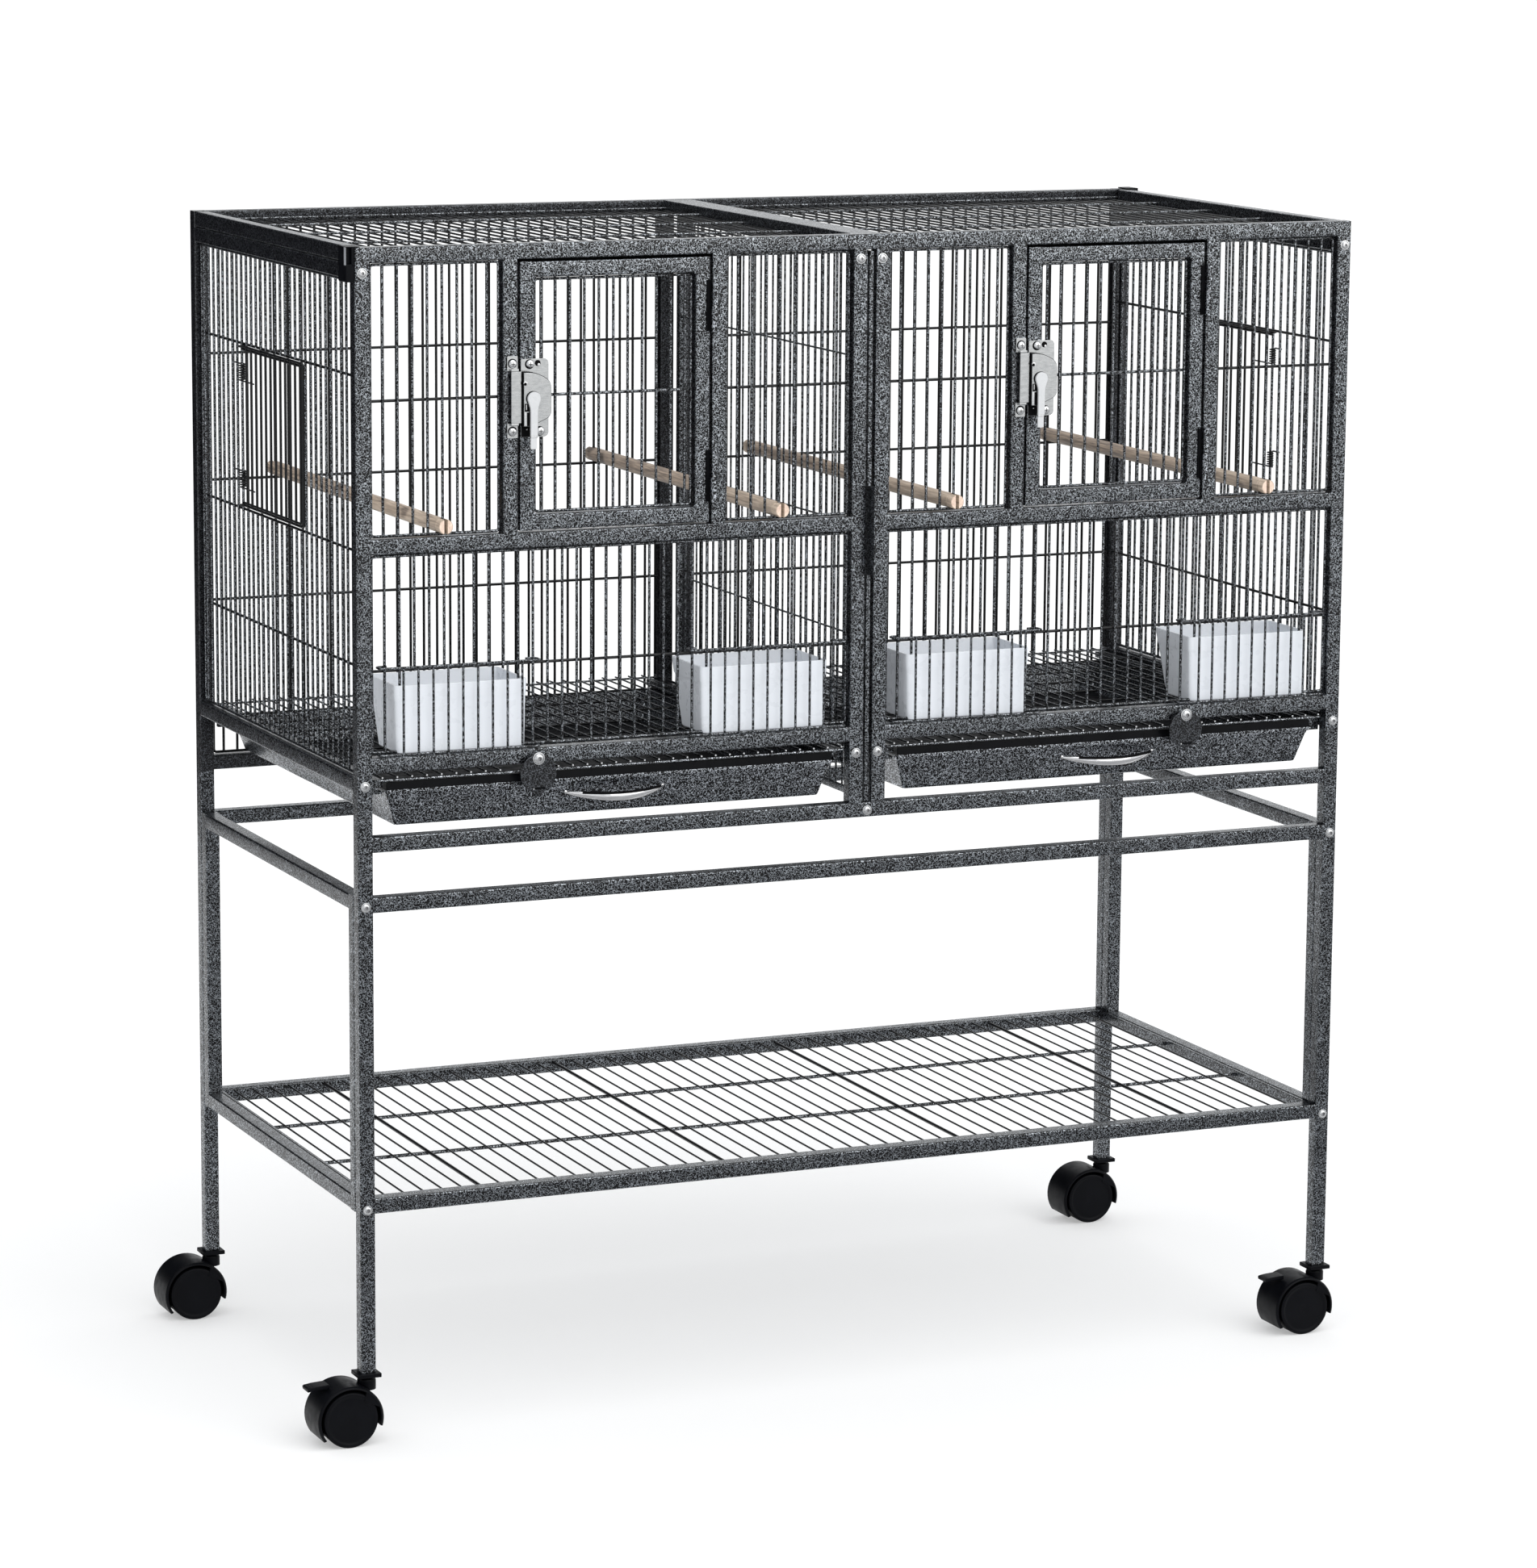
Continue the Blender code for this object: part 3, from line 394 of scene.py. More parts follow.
FINISHES = {
    "vein": hammertone("hammertone_tube", 480.0, (0.350, 0.378, 0.410)),
    # painted light: a copy of the hammertone with brighter veins, for the tray's sloped front, the hinge
    # barrels and the grate's front wire
    "tray": hammertone("hammertone_painted_light", 480.0, (0.600, 0.640, 0.690)),
    "fine": hammertone("hammertone_wire", 520.0, (0.360, 0.385, 0.415)),
    # painted shade: a darker copy of the hammertone, for parts that lie in shade (the back frame, the lock
    # discs, the strip beside each keeper)
    "painted_shade": hammertone("hammertone_painted_shade", 480.0, (0.105, 0.113, 0.126)),
    # painted shade: the wire coat without its silver veins, near-black as the wires look where they lie in
    # shade
    "line": moulded("wire_painted_shade", (0.0040, 0.0043, 0.0052), 0.30, 0.00002, 0.25, 0.30),
    "zinc": bright_metal("bright_zinc", (0.62, 0.63, 0.64), 0.22, (1.0, 1.0, 1.0)),
    "nickel": bright_metal("nickel_plate", (0.43, 0.44, 0.445), 0.22, (0.2, 0.2, 1.0)),
    # the lever's own pale colour, and also painted highlights at the grate wires' tips and at the end of the
    # slot under each lock disc
    "pale": moulded("pale_lever_and_painted_highlight", (0.58, 0.59, 0.60), 0.28, 0.00001, 0.02),
    "bow": bright_metal("polished_bow", (0.74, 0.74, 0.75), 0.12, (0.1, 1.0, 1.0)),
    "black": moulded("black_nylon", (0.0024, 0.0027, 0.0040), 0.36, 0.00002, 0.25, 0.07),
    # black rubber tread and caster web, and also painted shade: dark strips in the gaps above the doors,
    # beside the hinges, under the lock discs and on the tray floors
    "matt": moulded("black_tread_and_painted_shade", (0.0022, 0.0024, 0.0032), 0.50, 0.00003, 0.25, 0.05),
    "white": moulded("white_cup_plastic", (0.770, 0.800, 0.845), 0.30, 0.00001, 0.02),
    # painted highlight: a pale grey for the lit edge of the end caps
    "rim": moulded("cap_edge_painted_highlight", (0.26, 0.27, 0.29), 0.40, 0.00001, 0.05),
    # painted shade: a darker copy of the zinc for the inside of the bolt sockets
    "socket": bright_metal("zinc_socket_painted_shade", (0.30, 0.30, 0.31), 0.40, (1.0, 1.0, 1.0)),
    # painted shade: near-black for the shade in recesses, slots, grooves and rings round screw heads
    "gap": moulded("recess_painted_shade", (0.0030, 0.0030, 0.0035), 0.70, 0.00002, 0.20, 0.05),
    # painted shade: near-black, for the shaded band on the tray's front lip
    "sheet": moulded("painted_shade_sheet", (0.0030, 0.0033, 0.0042), 0.30, 0.00001, 0.20, 0.10),
    "wood": pale_wood(),
    "end": end_grain(),
}


# Mesh kit

def arc(x, z, radius, start, end, steps):
    """Points on a circle in the x-z plane, angles in degrees from +x towards +z."""
    points = []
    for step in range(steps + 1):
        angle = math.radians(start + (end - start) * step / steps)
        points.append((x + radius * math.cos(angle), z + radius * math.sin(angle)))
    return points


def rounded_rectangle(x0, x1, z0, z1, radius, steps=4):
    points = arc(x1 - radius, z1 - radius, radius, 0, 90, steps)
    points += arc(x0 + radius, z1 - radius, radius, 90, 180, steps)
    points += arc(x0 + radius, z0 + radius, radius, 180, 270, steps)
    points += arc(x1 - radius, z0 + radius, radius, 270, 360, steps)
    return points


def inset(outline, distance):
    """The outline moved inwards; the outline runs anticlockwise."""
    moved = []
    count = len(outline)
    for index in range(count):
        before, here, after = (Vector(outline[(index + step) % count]) for step in (-1, 0, 1))
        first = (here - before).normalized()
        second = (after - here).normalized()
        left = Vector((-first.y - second.y, first.x + second.x))
        share = max(0.35, left.length / 2)
        moved.append(tuple(here + left.normalized() * distance / share))
    return moved


def bent(points, radius, steps=4):
    """The same line with its corners rounded."""
    points = [Vector(point) for point in points]
    line = [points[0]]
    for before, corner, after in zip(points, points[1:], points[2:]):
        back = before - corner
        on = after - corner
        reach = min(radius, back.length * 0.49, on.length * 0.49)
        start = corner + back.normalized() * reach
        end = corner + on.normalized() * reach
        for step in range(steps + 1):
            share = step / steps
            line.append(start.lerp(corner, share).lerp(corner.lerp(end, share), share))
    line.append(points[-1])
    return line


def turned_round(points):
    """Points turned half round about the cage's upright middle line."""
    return [Vector((WIDTH - point[0], DEPTH - point[1], point[2])) for point in points]


class Piece:
    """A visible piece, grown shape by shape, each shape with its own finish."""

    def __init__(self, name, finish):
        self.name = name
        self.finish_name = finish
        self.points = []
        self.faces = []
        self.face_finish = []
        self.finishes = []
        self.turn = False
        self.mirror = False

    def put(self, points, faces, finish=None):
        finish = finish or self.finish_name
        if finish not in self.finishes:
            self.finishes.append(finish)
        first = len(self.points)
        points = [Vector(point) for point in points]
        if self.turn:
            points = turned_round(points)
        if self.mirror:
            points = [Vector((WIDTH - point.x, point.y, point.z)) for point in points]
            faces = [tuple(reversed(face)) for face in faces]
        self.points += points
        self.faces += [tuple(first + corner for corner in face) for face in faces]
        self.face_finish += [self.finishes.index(finish)] * len(faces)

    def rings(self, rings, finish=None, closed=False, capped=(True, True)):
        """Skin over rings of points, clockwise seen from the last; one point closes to a tip."""
        points = []
        starts = []
        for ring in rings:
            starts.append(len(points))
            points += ring
        faces = []
        pairs = list(zip(range(len(rings)), range(1, len(rings))))
        if closed:
            pairs.append((len(rings) - 1, 0))
        for one, two in pairs:
            count = max(len(rings[one]), len(rings[two]))
            for step in range(count):
                after = (step + 1) % count
                low = [starts[one] + (after if len(rings[one]) > 1 else 0),
                       starts[one] + (step if len(rings[one]) > 1 else 0)]
                high = [starts[two] + (step if len(rings[two]) > 1 else 0),
                        starts[two] + (after if len(rings[two]) > 1 else 0)]
                face = []
                for corner in low + high:
                    if corner not in face:
                        face.append(corner)
                faces.append(tuple(face))
        if capped[0] and not closed and len(rings[0]) > 1:
            faces.append(tuple(range(starts[0], starts[0] + len(rings[0]))))
        if capped[1] and not closed and len(rings[-1]) > 1:
            faces.append(tuple(reversed(range(starts[-1], starts[-1] + len(rings[-1])))))
        self.put(points, faces, finish)

    def bar(self, low, high, axis, radius=TUBE_ROUND, finish=None, steps=2):
        """A square tube along an axis, from its low corner to its high corner."""
        across = [index for index in range(3) if index != axis]
        if axis == 1:
            across.reverse()
        one, two = across
        corners = [(high[one], high[two], 0), (low[one], high[two], 90),
                   (low[one], low[two], 180), (high[one], low[two], 270)]
        section = []
        for a, b, start in corners:
            for step in range(steps + 1):
                angle = math.radians(start + 90 * step / steps)
                centre_a = a - math.copysign(radius, math.cos(math.radians(start + 45)))
                centre_b = b - math.copysign(radius, math.sin(math.radians(start + 45)))
                section.append((centre_a + radius * math.cos(angle), centre_b + radius * math.sin(angle)))
        rings = []
        for end in (low[axis], high[axis]):
            ring = []
            for a, b in section:
                point = [0.0, 0.0, 0.0]
                point[one], point[two], point[axis] = a, b, end
                ring.append(point)
            rings.append(ring)
        self.rings([list(reversed(ring)) for ring in rings], finish)

    def block(self, low, high, radius, finish=None, steps=2):
        """A box with all of its edges rounded."""
        bm = bmesh.new()
        size = [b - a for a, b in zip(low, high)]
        centre = [(a + b) / 2 for a, b in zip(low, high)]
        matrix = Matrix.Translation(centre) @ Matrix.Diagonal((*size, 1.0))
        bmesh.ops.create_cube(bm, size=1.0, matrix=matrix)
        bmesh.ops.bevel(bm, geom=bm.edges[:], offset=radius, segments=steps, profile=0.5, affect="EDGES")
        bm.verts.index_update()
        self.put([tuple(v.co) for v in bm.verts], [tuple(v.index for v in f.verts) for f in bm.faces],
                 finish)
        bm.free()

    def sweep(self, line, radius, sides=8, finish=None, closed=False):
        """A round wire along a line."""
        line = [Vector(point) for point in line]
        count = len(line)
        rings = []
        normal = None
        for index, point in enumerate(line):
            before = line[index - 1] if index or closed else point
            after = line[(index + 1) % count] if index < count - 1 or closed else point
            along = (after - before).normalized()
            if normal is None:
                normal = along.orthogonal().normalized()
            normal = (normal - along * normal.dot(along)).normalized()
            side = along.cross(normal)
            ring = []
            for step in range(sides):
                angle = math.tau * step / sides
                ring.append(point + (normal * math.cos(angle) + side * math.sin(angle)) * radius)
            rings.append(list(reversed(ring)))
        self.rings(rings, finish, closed)

    def rod(self, start, end, radius=WIRE, sides=8, finish=None):
        self.sweep([start, end], radius, sides, finish)

    def turned(self, profile, base, axis, steps=16, finish=None, six_sided=(), capped=(True, True)):
        """A turned shape: profile is (radius, along) from base along axis, outside to tip."""
        axis = Vector(axis).normalized()
        across = axis.orthogonal().normalized()
        side = axis.cross(across)
        rings = []
        for index, (radius, along) in enumerate(profile):
            centre = Vector(base) + axis * along
            if radius < 1e-7:
                rings.append([centre])
                continue
            ring = []
            for step in range(steps):
                angle = math.tau * step / steps
                reach = radius
                if index in six_sided and step % 2:
                    reach *= math.cos(math.pi / 6)
                ring.append(centre + (across * math.cos(angle) + side * math.sin(angle)) * reach)
            rings.append(list(reversed(ring)))
        self.rings(rings, finish, False, capped)

    def plate(self, outline, y0, y1, edge=0.0003, finish=None):
        """A flat plate facing the front, its front edge rounded; the outline runs anticlockwise."""
        inner = inset(outline, edge)
        mid = inset(outline, edge * 0.3)
        layers = [(inner, y0), (mid, y0 + edge * 0.3), (outline, y0 + edge), (outline, y1 - edge * 0.5),
                  (inset(outline, edge * 0.5), y1)]
        self.rings([[(x, y, z) for x, z in shape] for shape, y in layers], finish)

    def button_bolt(self, x, y, z, out, size=1.0):
        """A domed bolt with a six-sided socket; out is -1 to face the front."""
        head = [(0.0042, 0.0), (0.0042, 0.0006), (0.0039, 0.0014), (0.0031, 0.0021), (0.0023, 0.0023),
                (0.00165, 0.00235)]
        socket = [(0.00165, 0.00235), (0.00155, 0.0010), (0.0, 0.0009)]
        axis = (0, out, 0)
        washer = [(0.0049, 0.0), (0.0049, 0.0005), (0.0042, 0.0006)]
        scaled = [[(radius * size, along * size) for radius, along in part] for part in (washer, head,
                                                                                         socket)]
        self.turned(scaled[0], (x, y, z), axis, 18, "zinc")
        self.turned(scaled[1], (x, y, z), axis, 12, "zinc", (5,), (True, False))
        # painted shade: the socket's walls in a darker zinc
        self.turned(scaled[2], (x, y, z), axis, 12, "socket", (0, 1), (False, False))

    def finish(self, body, slot, *nodes):
        mesh = bpy.data.meshes.new(self.name)
        mesh.from_pydata([tuple(ORIGIN + point) for point in self.points], [], self.faces)
        for name in self.finishes:
            mesh.materials.append(FINISHES[name])
        mesh.polygons.foreach_set("material_index", self.face_finish)
        mesh.shade_smooth()
        mesh.set_sharp_from_angle(angle=math.radians(50))
        mesh.update()
        made = bpy.data.objects.new(self.name, mesh)
        bpy.context.scene.collection.objects.link(made)
        normals = made.modifiers.new("normals", "WEIGHTED_NORMAL")
        normals.keep_sharp = True
        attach(made, body)
        if nodes:
            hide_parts(*nodes)
        return made


# Frame of the cage

def upright(piece, x, y, z0, z1):
    piece.bar((x, y, z0), (x + TUBE, y + TUBE, z1), 2)


def rail_x(piece, x0, x1, y, z):
    """A rail let into the posts at its ends, so that the welds show no seam."""
    let_in = 0.0020
    skin = 0.00005
    piece.bar((x0 - let_in, y + skin, z + skin), (x1 + let_in, y + TUBE - skin, z + TUBE - skin), 0)


def rail_y(piece, x, y0, y1, z):
    skin = 0.00005
    piece.bar((x + skin, y0, z + skin), (x + TUBE - skin, y1, z + TUBE - skin), 1)


def place_box(node):
    """A CAD node's low and high corners, in this script's own place."""
    return [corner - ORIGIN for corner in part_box(node)]


def wire_loop(piece, corners, bend=0.003, radius=WIRE):
    """A welded wire frame round four corners, joined in the middle of its last side."""
    start = [(a + b) / 2 for a, b in zip(corners[-1], corners[0])]
    piece.sweep(bent([start, *corners, start], bend)[:-1], radius, 8, None, True)


def loop_x(piece, x0, x1, y, z0, z1):
    wire_loop(piece, [(x1, y, z0), (x1, y, z1), (x0, y, z1), (x0, y, z0)])


def weld(piece, x, y, z, size=0.0016):
    """A low bead where two members meet."""
    profile = [(size, 0.0), (size * 0.92, size * 0.25), (size * 0.55, size * 0.45), (0.0, size * 0.5)]
    piece.turned(profile, (x, y, z), FORWARD, 10)


def front_frame():
    piece = Piece("front_frame", "vein")
    for x in (0.0, WIDTH - TUBE):
        upright(piece, x, 0.0, SEAM_Z, HEIGHT)
    for shift in (0.0, HALF):
        for x in STILE_X:
            upright(piece, x + shift, 0.0, MID_RAIL_Z + TUBE - 0.002, TOP_RAIL_Z + 0.002)
        for z in (MID_RAIL_Z, SILL_Z):
            left = WIDTH - CENTRE_POST_X if shift else TUBE
            right = WIDTH - TUBE if shift else CENTRE_POST_X
            rail_x(piece, left, right, 0.0, z)
    for x in (CENTRE_POST_X, WIDTH - CENTRE_POST_X - TUBE):
        upright(piece, x, 0.0, LOWER_RAIL_Z + TUBE - 0.002, TOP_RAIL_Z + 0.002)
    for z in (TOP_RAIL_Z, LOWER_RAIL_Z):
        rail_x(piece, TUBE, WIDTH - TUBE, 0.0, z)
    # painted shade: a thin dark strip behind the top rail over each door, for the shaded gap above the door
    for shift in (0.0, HALF):
        low = (DOOR_X[0] + shift, TUBE, TOP_RAIL_Z - 0.0042)
        high = (DOOR_X[1] + 0.003 + shift, TUBE + 0.0008, TOP_RAIL_Z + 0.004)
        piece.bar(low, high, 0, 0.0002, "matt")
    piece.finish("cage", "hammertone_steel", "front_panel")


def gate_foot(index):
    """Where a lower front wire ends: over a feed opening it stops short."""
    for first in GATE_FIRST:
        last = first + GATE_WIRES - 1
        if first < index < last:
            return LOWER_CROSS_Z - 0.001
        if index in (first, last):
            return PRONG_END_Z
    return SILL_Z + TUBE + FOOT_GAP


def front_wires():
    piece = Piece("front_wires", "fine")
    y = FRONT_WIRE_Y
    behind = y + 2 * WIRE - 0.0001
    for shift in (0.0, HALF):
        foot = MID_RAIL_Z + TUBE + EDGE
        head = TOP_RAIL_Z - HEAD_GAP
        for low, high in BAYS:
            x0, x1 = low + EDGE + shift, high - EDGE + shift
            loop_x(piece, x0, x1, y, foot, head)
            for index in range(BAY_WIRES):
                x = low + BAY_FIRST + BAY_PITCH * index + shift
                piece.rod((x, y, foot), (x, y, head))
            # the cross wires behind take the near-black wire coat, painted shade
            piece.rod((x0, behind, UPPER_CROSS_Z), (x1, behind, UPPER_CROSS_Z), WIRE, 8, "line")
        x0, x1 = TUBE + EDGE + shift, CENTRE_POST_X - EDGE + shift
        low_z, high_z = SILL_Z + TUBE + FOOT_GAP, MID_RAIL_Z - EDGE
        loop_x(piece, x0, x1, y, low_z, high_z)
        for index in range(FIELD_WIRES):
            x = FIELD_FIRST_X + PITCH * index + shift
            piece.rod((x, y, gate_foot(index)), (x, y, high_z))
        piece.rod((x0, behind, LOWER_CROSS_Z), (x1, behind, LOWER_CROSS_Z), WIRE, 8, "line")
    piece.finish("cage", "hammertone_steel")


def back_frame():
    # the back frame takes the darker copy of the hammertone, painted shade for the inside of the cage
    piece = Piece("back_frame", "painted_shade")
    y = DEPTH - TUBE
    for x in (0.0, WIDTH - TUBE):
        upright(piece, x, y, SEAM_Z, HEIGHT)
    for x in (CENTRE_POST_X, WIDTH - CENTRE_POST_X - TUBE):
        upright(piece, x, y, LOWER_RAIL_Z + TUBE - 0.002, TOP_RAIL_Z + 0.002)
    for z in (TOP_RAIL_Z, LOWER_RAIL_Z):
        rail_x(piece, TUBE, WIDTH - TUBE, y, z)
    piece.finish("cage", "hammertone_steel", "back_panel")
    # the back wires take the near-black wire coat, painted shade
    wires = Piece("back_wires", "line")
    low_z, high_z = LOWER_RAIL_Z + TUBE + EDGE, TOP_RAIL_Z - EDGE
    inside = BACK_WIRE_Y - 2 * WIRE + 0.0001
    for shift in (0.0, HALF):
        x0, x1 = TUBE + EDGE + shift, CENTRE_POST_X - EDGE + shift
        loop_x(wires, x0, x1, BACK_WIRE_Y, low_z, high_z)
        for index in range(BACK_WIRES):
            x = BACK_FIRST_X + BACK_PITCH * index + shift * BACK_RIGHT_SHARE
            wires.rod((x, BACK_WIRE_Y, low_z), (x, BACK_WIRE_Y, high_z))
        for z in BACK_CROSS_Z:
            wires.rod((x0, inside, z), (x1, inside, z))
    wires.finish("cage", "hammertone_steel")


def side_y(index):
    return SIDE_FIRST_Y + SIDE_PITCH * index


def side_panel(side, turn):
    piece = Piece(f"{side}_frame", "vein")
    piece.turn = turn
    gap = 0.0003
    for z in (SIDE_TOP_Z, SIDE_SILL_Z):
        rail_y(piece, 0.0, TUBE + gap, DEPTH - TUBE - gap, z)
    piece.finish("cage", "hammertone_steel", f"{side}_panel")
    wires = Piece(f"{side}_wires", "fine")
    wires.turn = turn
    x = SIDE_WIRE_X
    inside = x + 2 * WIRE - 0.0001
    y0, y1 = TUBE + EDGE, DEPTH - TUBE - EDGE
    low_z, high_z = SIDE_SILL_Z + TUBE + EDGE, SIDE_TOP_Z - EDGE
    wire_loop(wires, [(x, y1, low_z), (x, y1, high_z), (x, y0, high_z), (x, y0, low_z)])
    for index in range(SIDE_WIRES):
        y = side_y(index)
        if NEST_EDGE_WIRE < index < NEST_HINGE_WIRE:
            wires.rod((x, y, NEST_TOP_Z + 0.0020), (x, y, high_z))
            wires.rod((x, y, low_z), (x, y, NEST_FOOT_Z - 0.0040))
        else:
            wires.rod((x, y, low_z), (x, y, high_z))
    for z in SIDE_CROSS_Z:
        wires.rod((inside, y0, z), (inside, y1, z), WIRE, 8, "line")
    wires.finish("cage", "hammertone_steel")


def roof():
    piece = Piece("roof_frame", "vein")
    low_z = SIDE_TOP_Z + TUBE + 0.0004
    top_z = HEIGHT - 0.0002
    for x0 in (0.0005, WIDTH - 0.0130):
        piece.bar((x0, TUBE + 0.0003, low_z), (x0 + 0.0125, 0.434, top_z), 1)
    piece.bar((0.4615, TUBE + 0.0003, 1.0218), (WIDTH - 0.4615, DEPTH - TUBE - 0.0003, top_z), 1)
    piece.finish("cage", "hammertone_steel", "roof")
    wires = Piece("roof_wires", "fine")
    high, low = 1.0277, 1.0277 - ROOF_WIRE - WIRE + 0.0001
    for mirror in (False, True):
        wires.mirror = mirror
        for y in (0.0165, 0.033, 0.138, 0.244, 0.348, 0.4325):
            wires.rod((0.0125, y, high), (0.4618, y, high), ROOF_CROSS_WIRE)
        for index in range(FIELD_WIRES + 1):
            x = BACK_FIRST_X + ROOF_PITCH * index
            # the lower front-to-back wires take the near-black wire coat, painted shade
            wires.rod((x, 0.0150, low), (x, 0.4340, low), ROOF_WIRE, 8, "line")
    wires.finish("cage", "hammertone_steel")


def bolts():
    """Button bolts that hold the panels to the posts and the stand together."""
    piece = Piece("frame_bolts", "zinc")
    outer = [(x, z) for x in (0.0065, WIDTH - 0.0065) for z in (1.0135, 0.5777, 0.4730, 0.2070)]
    middle = [(0.4648, 1.0138), (0.4855, 1.0138), (0.4646, 0.5782), (0.4855, 0.5782), (0.4760, 0.5260)]
    for x, z in outer + middle:
        piece.button_bolt(x, 0.0, z, -1, 0.90)
        piece.button_bolt(x, DEPTH, z, 1, 0.90)
    piece.finish("cage", "chrome")


def end_caps():
    """Black caps over two opposite top corners, each with a notch in its face."""
    low_z, top_z = 1.0063, 1.0360
    notch_z = 1.0215
    for name, node, turn in (("end_cap_front", "cap_front_left", False),
                             ("end_cap_back", "cap_back_right", True)):
        piece = Piece(name, "black")
        piece.turn = turn
        piece.block((-0.0080, -0.0008, low_z), (-0.0003, 0.0188, notch_z), 0.0008)
        piece.block((-0.0080, 0.0030, notch_z - 0.0020), (-0.0003, 0.0188, top_z), 0.0008)
        piece.block((-0.0030, -0.0008, notch_z - 0.0020), (-0.0003, 0.0050, top_z), 0.0006)
        # painted highlight: a pale strip along the cap's outer front edge
        piece.block((-0.0080, -0.0004, notch_z - 0.0010), (-0.0076, 0.0040, top_z - 0.0004), 0.0001, "rim")
        piece.block((-0.0079, -0.0006, HEIGHT + 0.0002), (0.0046, 0.0186, top_z + 0.0001), 0.0004)
        piece.finish("cage", "black_plastic", node)


def stand():
    for name, node, y in (("stand_front_frame", "stand_front", 0.0),
                          ("stand_back_frame", "stand_back", DEPTH - TUBE)):
        piece = Piece(name, "vein")
        for x in (0.0, WIDTH - TUBE):
            upright(piece, x, y, LEG_FOOT_Z, LEG_TOP_Z)
        for z in (STAND_RAIL_Z, SHELF_RAIL_Z):
            rail_x(piece, TUBE, WIDTH - TUBE, y, z)
        piece.finish("cage", "hammertone_steel", node)
    for side, turn in (("left", False), ("right", True)):
        piece = Piece(f"stand_{side}_frame", "vein")
        piece.turn = turn
        y0, y1 = TUBE + 0.0003, DEPTH - TUBE - 0.0003
        for y in (y0, y1 - TUBE):
            upright(piece, 0.0, y, SHELF_RAIL_Z, STAND_RAIL_Z + TUBE)
        for z in (STAND_RAIL_Z, SHELF_RAIL_Z):
            rail_y(piece, 0.0, y0 + TUBE - 0.002, y1 - TUBE + 0.002, z)
        piece.finish("cage", "hammertone_steel", f"stand_{side}")


def shelf():
    piece = Piece("wire_shelf", "fine")
    low, high = place_box("shelf")
    strip = 0.0030
    for x in (low.x, high.x - strip):
        piece.bar((x, low.y, low.z), (x + strip, high.y, high.z), 1, 0.0004, "vein")
    for y in (low.y, high.y - strip):
        piece.bar((low.x + 0.001, y, low.z + 0.0001), (high.x - 0.001, y + strip, high.z - 0.0001), 0,
                  0.0004,
                  "vein")
    y0, y1 = low.y + strip - 0.0005, high.y - strip + 0.0005
    for step in SHELF_STEPS:
        x = SHELF_FIRST_X + SHELF_PITCH * step
        if step % SHELF_THICK_EVERY == 0:
            piece.rod((x, y0, 0.2132), (x, y1, 0.2132), 0.0016, 8, "line")
        else:
            piece.rod((x, y0, 0.2142), (x, y1, 0.2142), 0.0009, 8, "line")
    for y in (0.155, 0.296):
        piece.rod((low.x + strip - 0.0005, y, 0.2113), (high.x - strip + 0.0005, y, 0.2113), 0.0017)
    piece.finish("cage", "hammertone_steel", "shelf")


def divider():
    """A wire grille in a flat frame, with a pull plate in front."""
    piece = Piece("divider_grille", "fine")
    low, high = place_box("divider")
    front = 0.002
    for y in (front, high.y - 0.008):
        piece.bar((low.x, y, low.z), (high.x, y + 0.008, high.z), 2, 0.0005, "vein")
    for z in (low.z, high.z - 0.006):
        piece.bar((low.x + 0.0001, front + 0.006, z), (high.x - 0.0001, high.y - 0.006, z + 0.006), 1,
                  0.0005,
                  "vein")
    for index in range(SIDE_WIRES):
        y = side_y(index)
        if front + 0.009 < y < high.y - 0.009:
            piece.rod((0.4752, y, low.z + 0.005), (0.4752, y, high.z - 0.005), 0.0010)
    for z in SIDE_CROSS_Z:
        piece.rod((0.4771, front + 0.006, z), (0.4771, high.y - 0.006, z), 0.0009)
    piece.block((low.x + 0.0001, low.y, 0.736), (high.x - 0.0001, front + 0.001, 0.815), 0.0009, "vein")
    piece.finish("divider", "hammertone_steel", "divider")


def tray_racks():
    """The channels that the trays' rims hang in, and the bar behind."""
    for side, shift in (("left", 0.0), ("right", HALF)):
        low, high = place_box(f"tray_rack_{side}")
        piece = Piece(f"tray_channel_{side}", "vein")
        rim = 0.0035
        middle = (low.x + high.x) / 2
        edge = TRAY_TOP[0] / 2 + 0.0003
        for sign in (-1, 1):
            outer = middle + sign * (high.x - low.x) / 2
            back = middle + sign * (edge + rim + 0.0010)
            mouth = middle + sign * edge
            for a, b, z0, z1 in ((outer, back, *RUNNER_Z), (back, mouth, 0.5740, RUNNER_Z[1] - 0.0001),
                                 (back, mouth + sign * 0.0006, RUNNER_Z[0] + 0.0001, 0.5698)):
                x0, x1 = sorted((a, b))
                piece.bar((x0, low.y, z0), (x1, high.y, z1), 1, 0.0003)
        piece.bar((low.x + 0.002, TRAY_TOP[2] + 0.001, 0.5605), (high.x - 0.002, high.y - 0.0001, 0.5700),
                  0, 0.0004)
        piece.finish("cage", "hammertone_steel", f"tray_rack_{side}")


# Doors, latches, nest doors

def knuckle(piece, x, z0, z1):
    """One half of a weld-on barrel hinge."""
    radius = 0.0031
    ease = 0.0004
    profile = [(radius - ease, 0.0), (radius, ease), (radius, z1 - z0 - ease), (radius - ease, z1 - z0)]
    # the barrel takes the brighter copy of the hammertone, painted light
    piece.turned(profile, (x, HINGE_Y, z0), UP, 16, "tray")


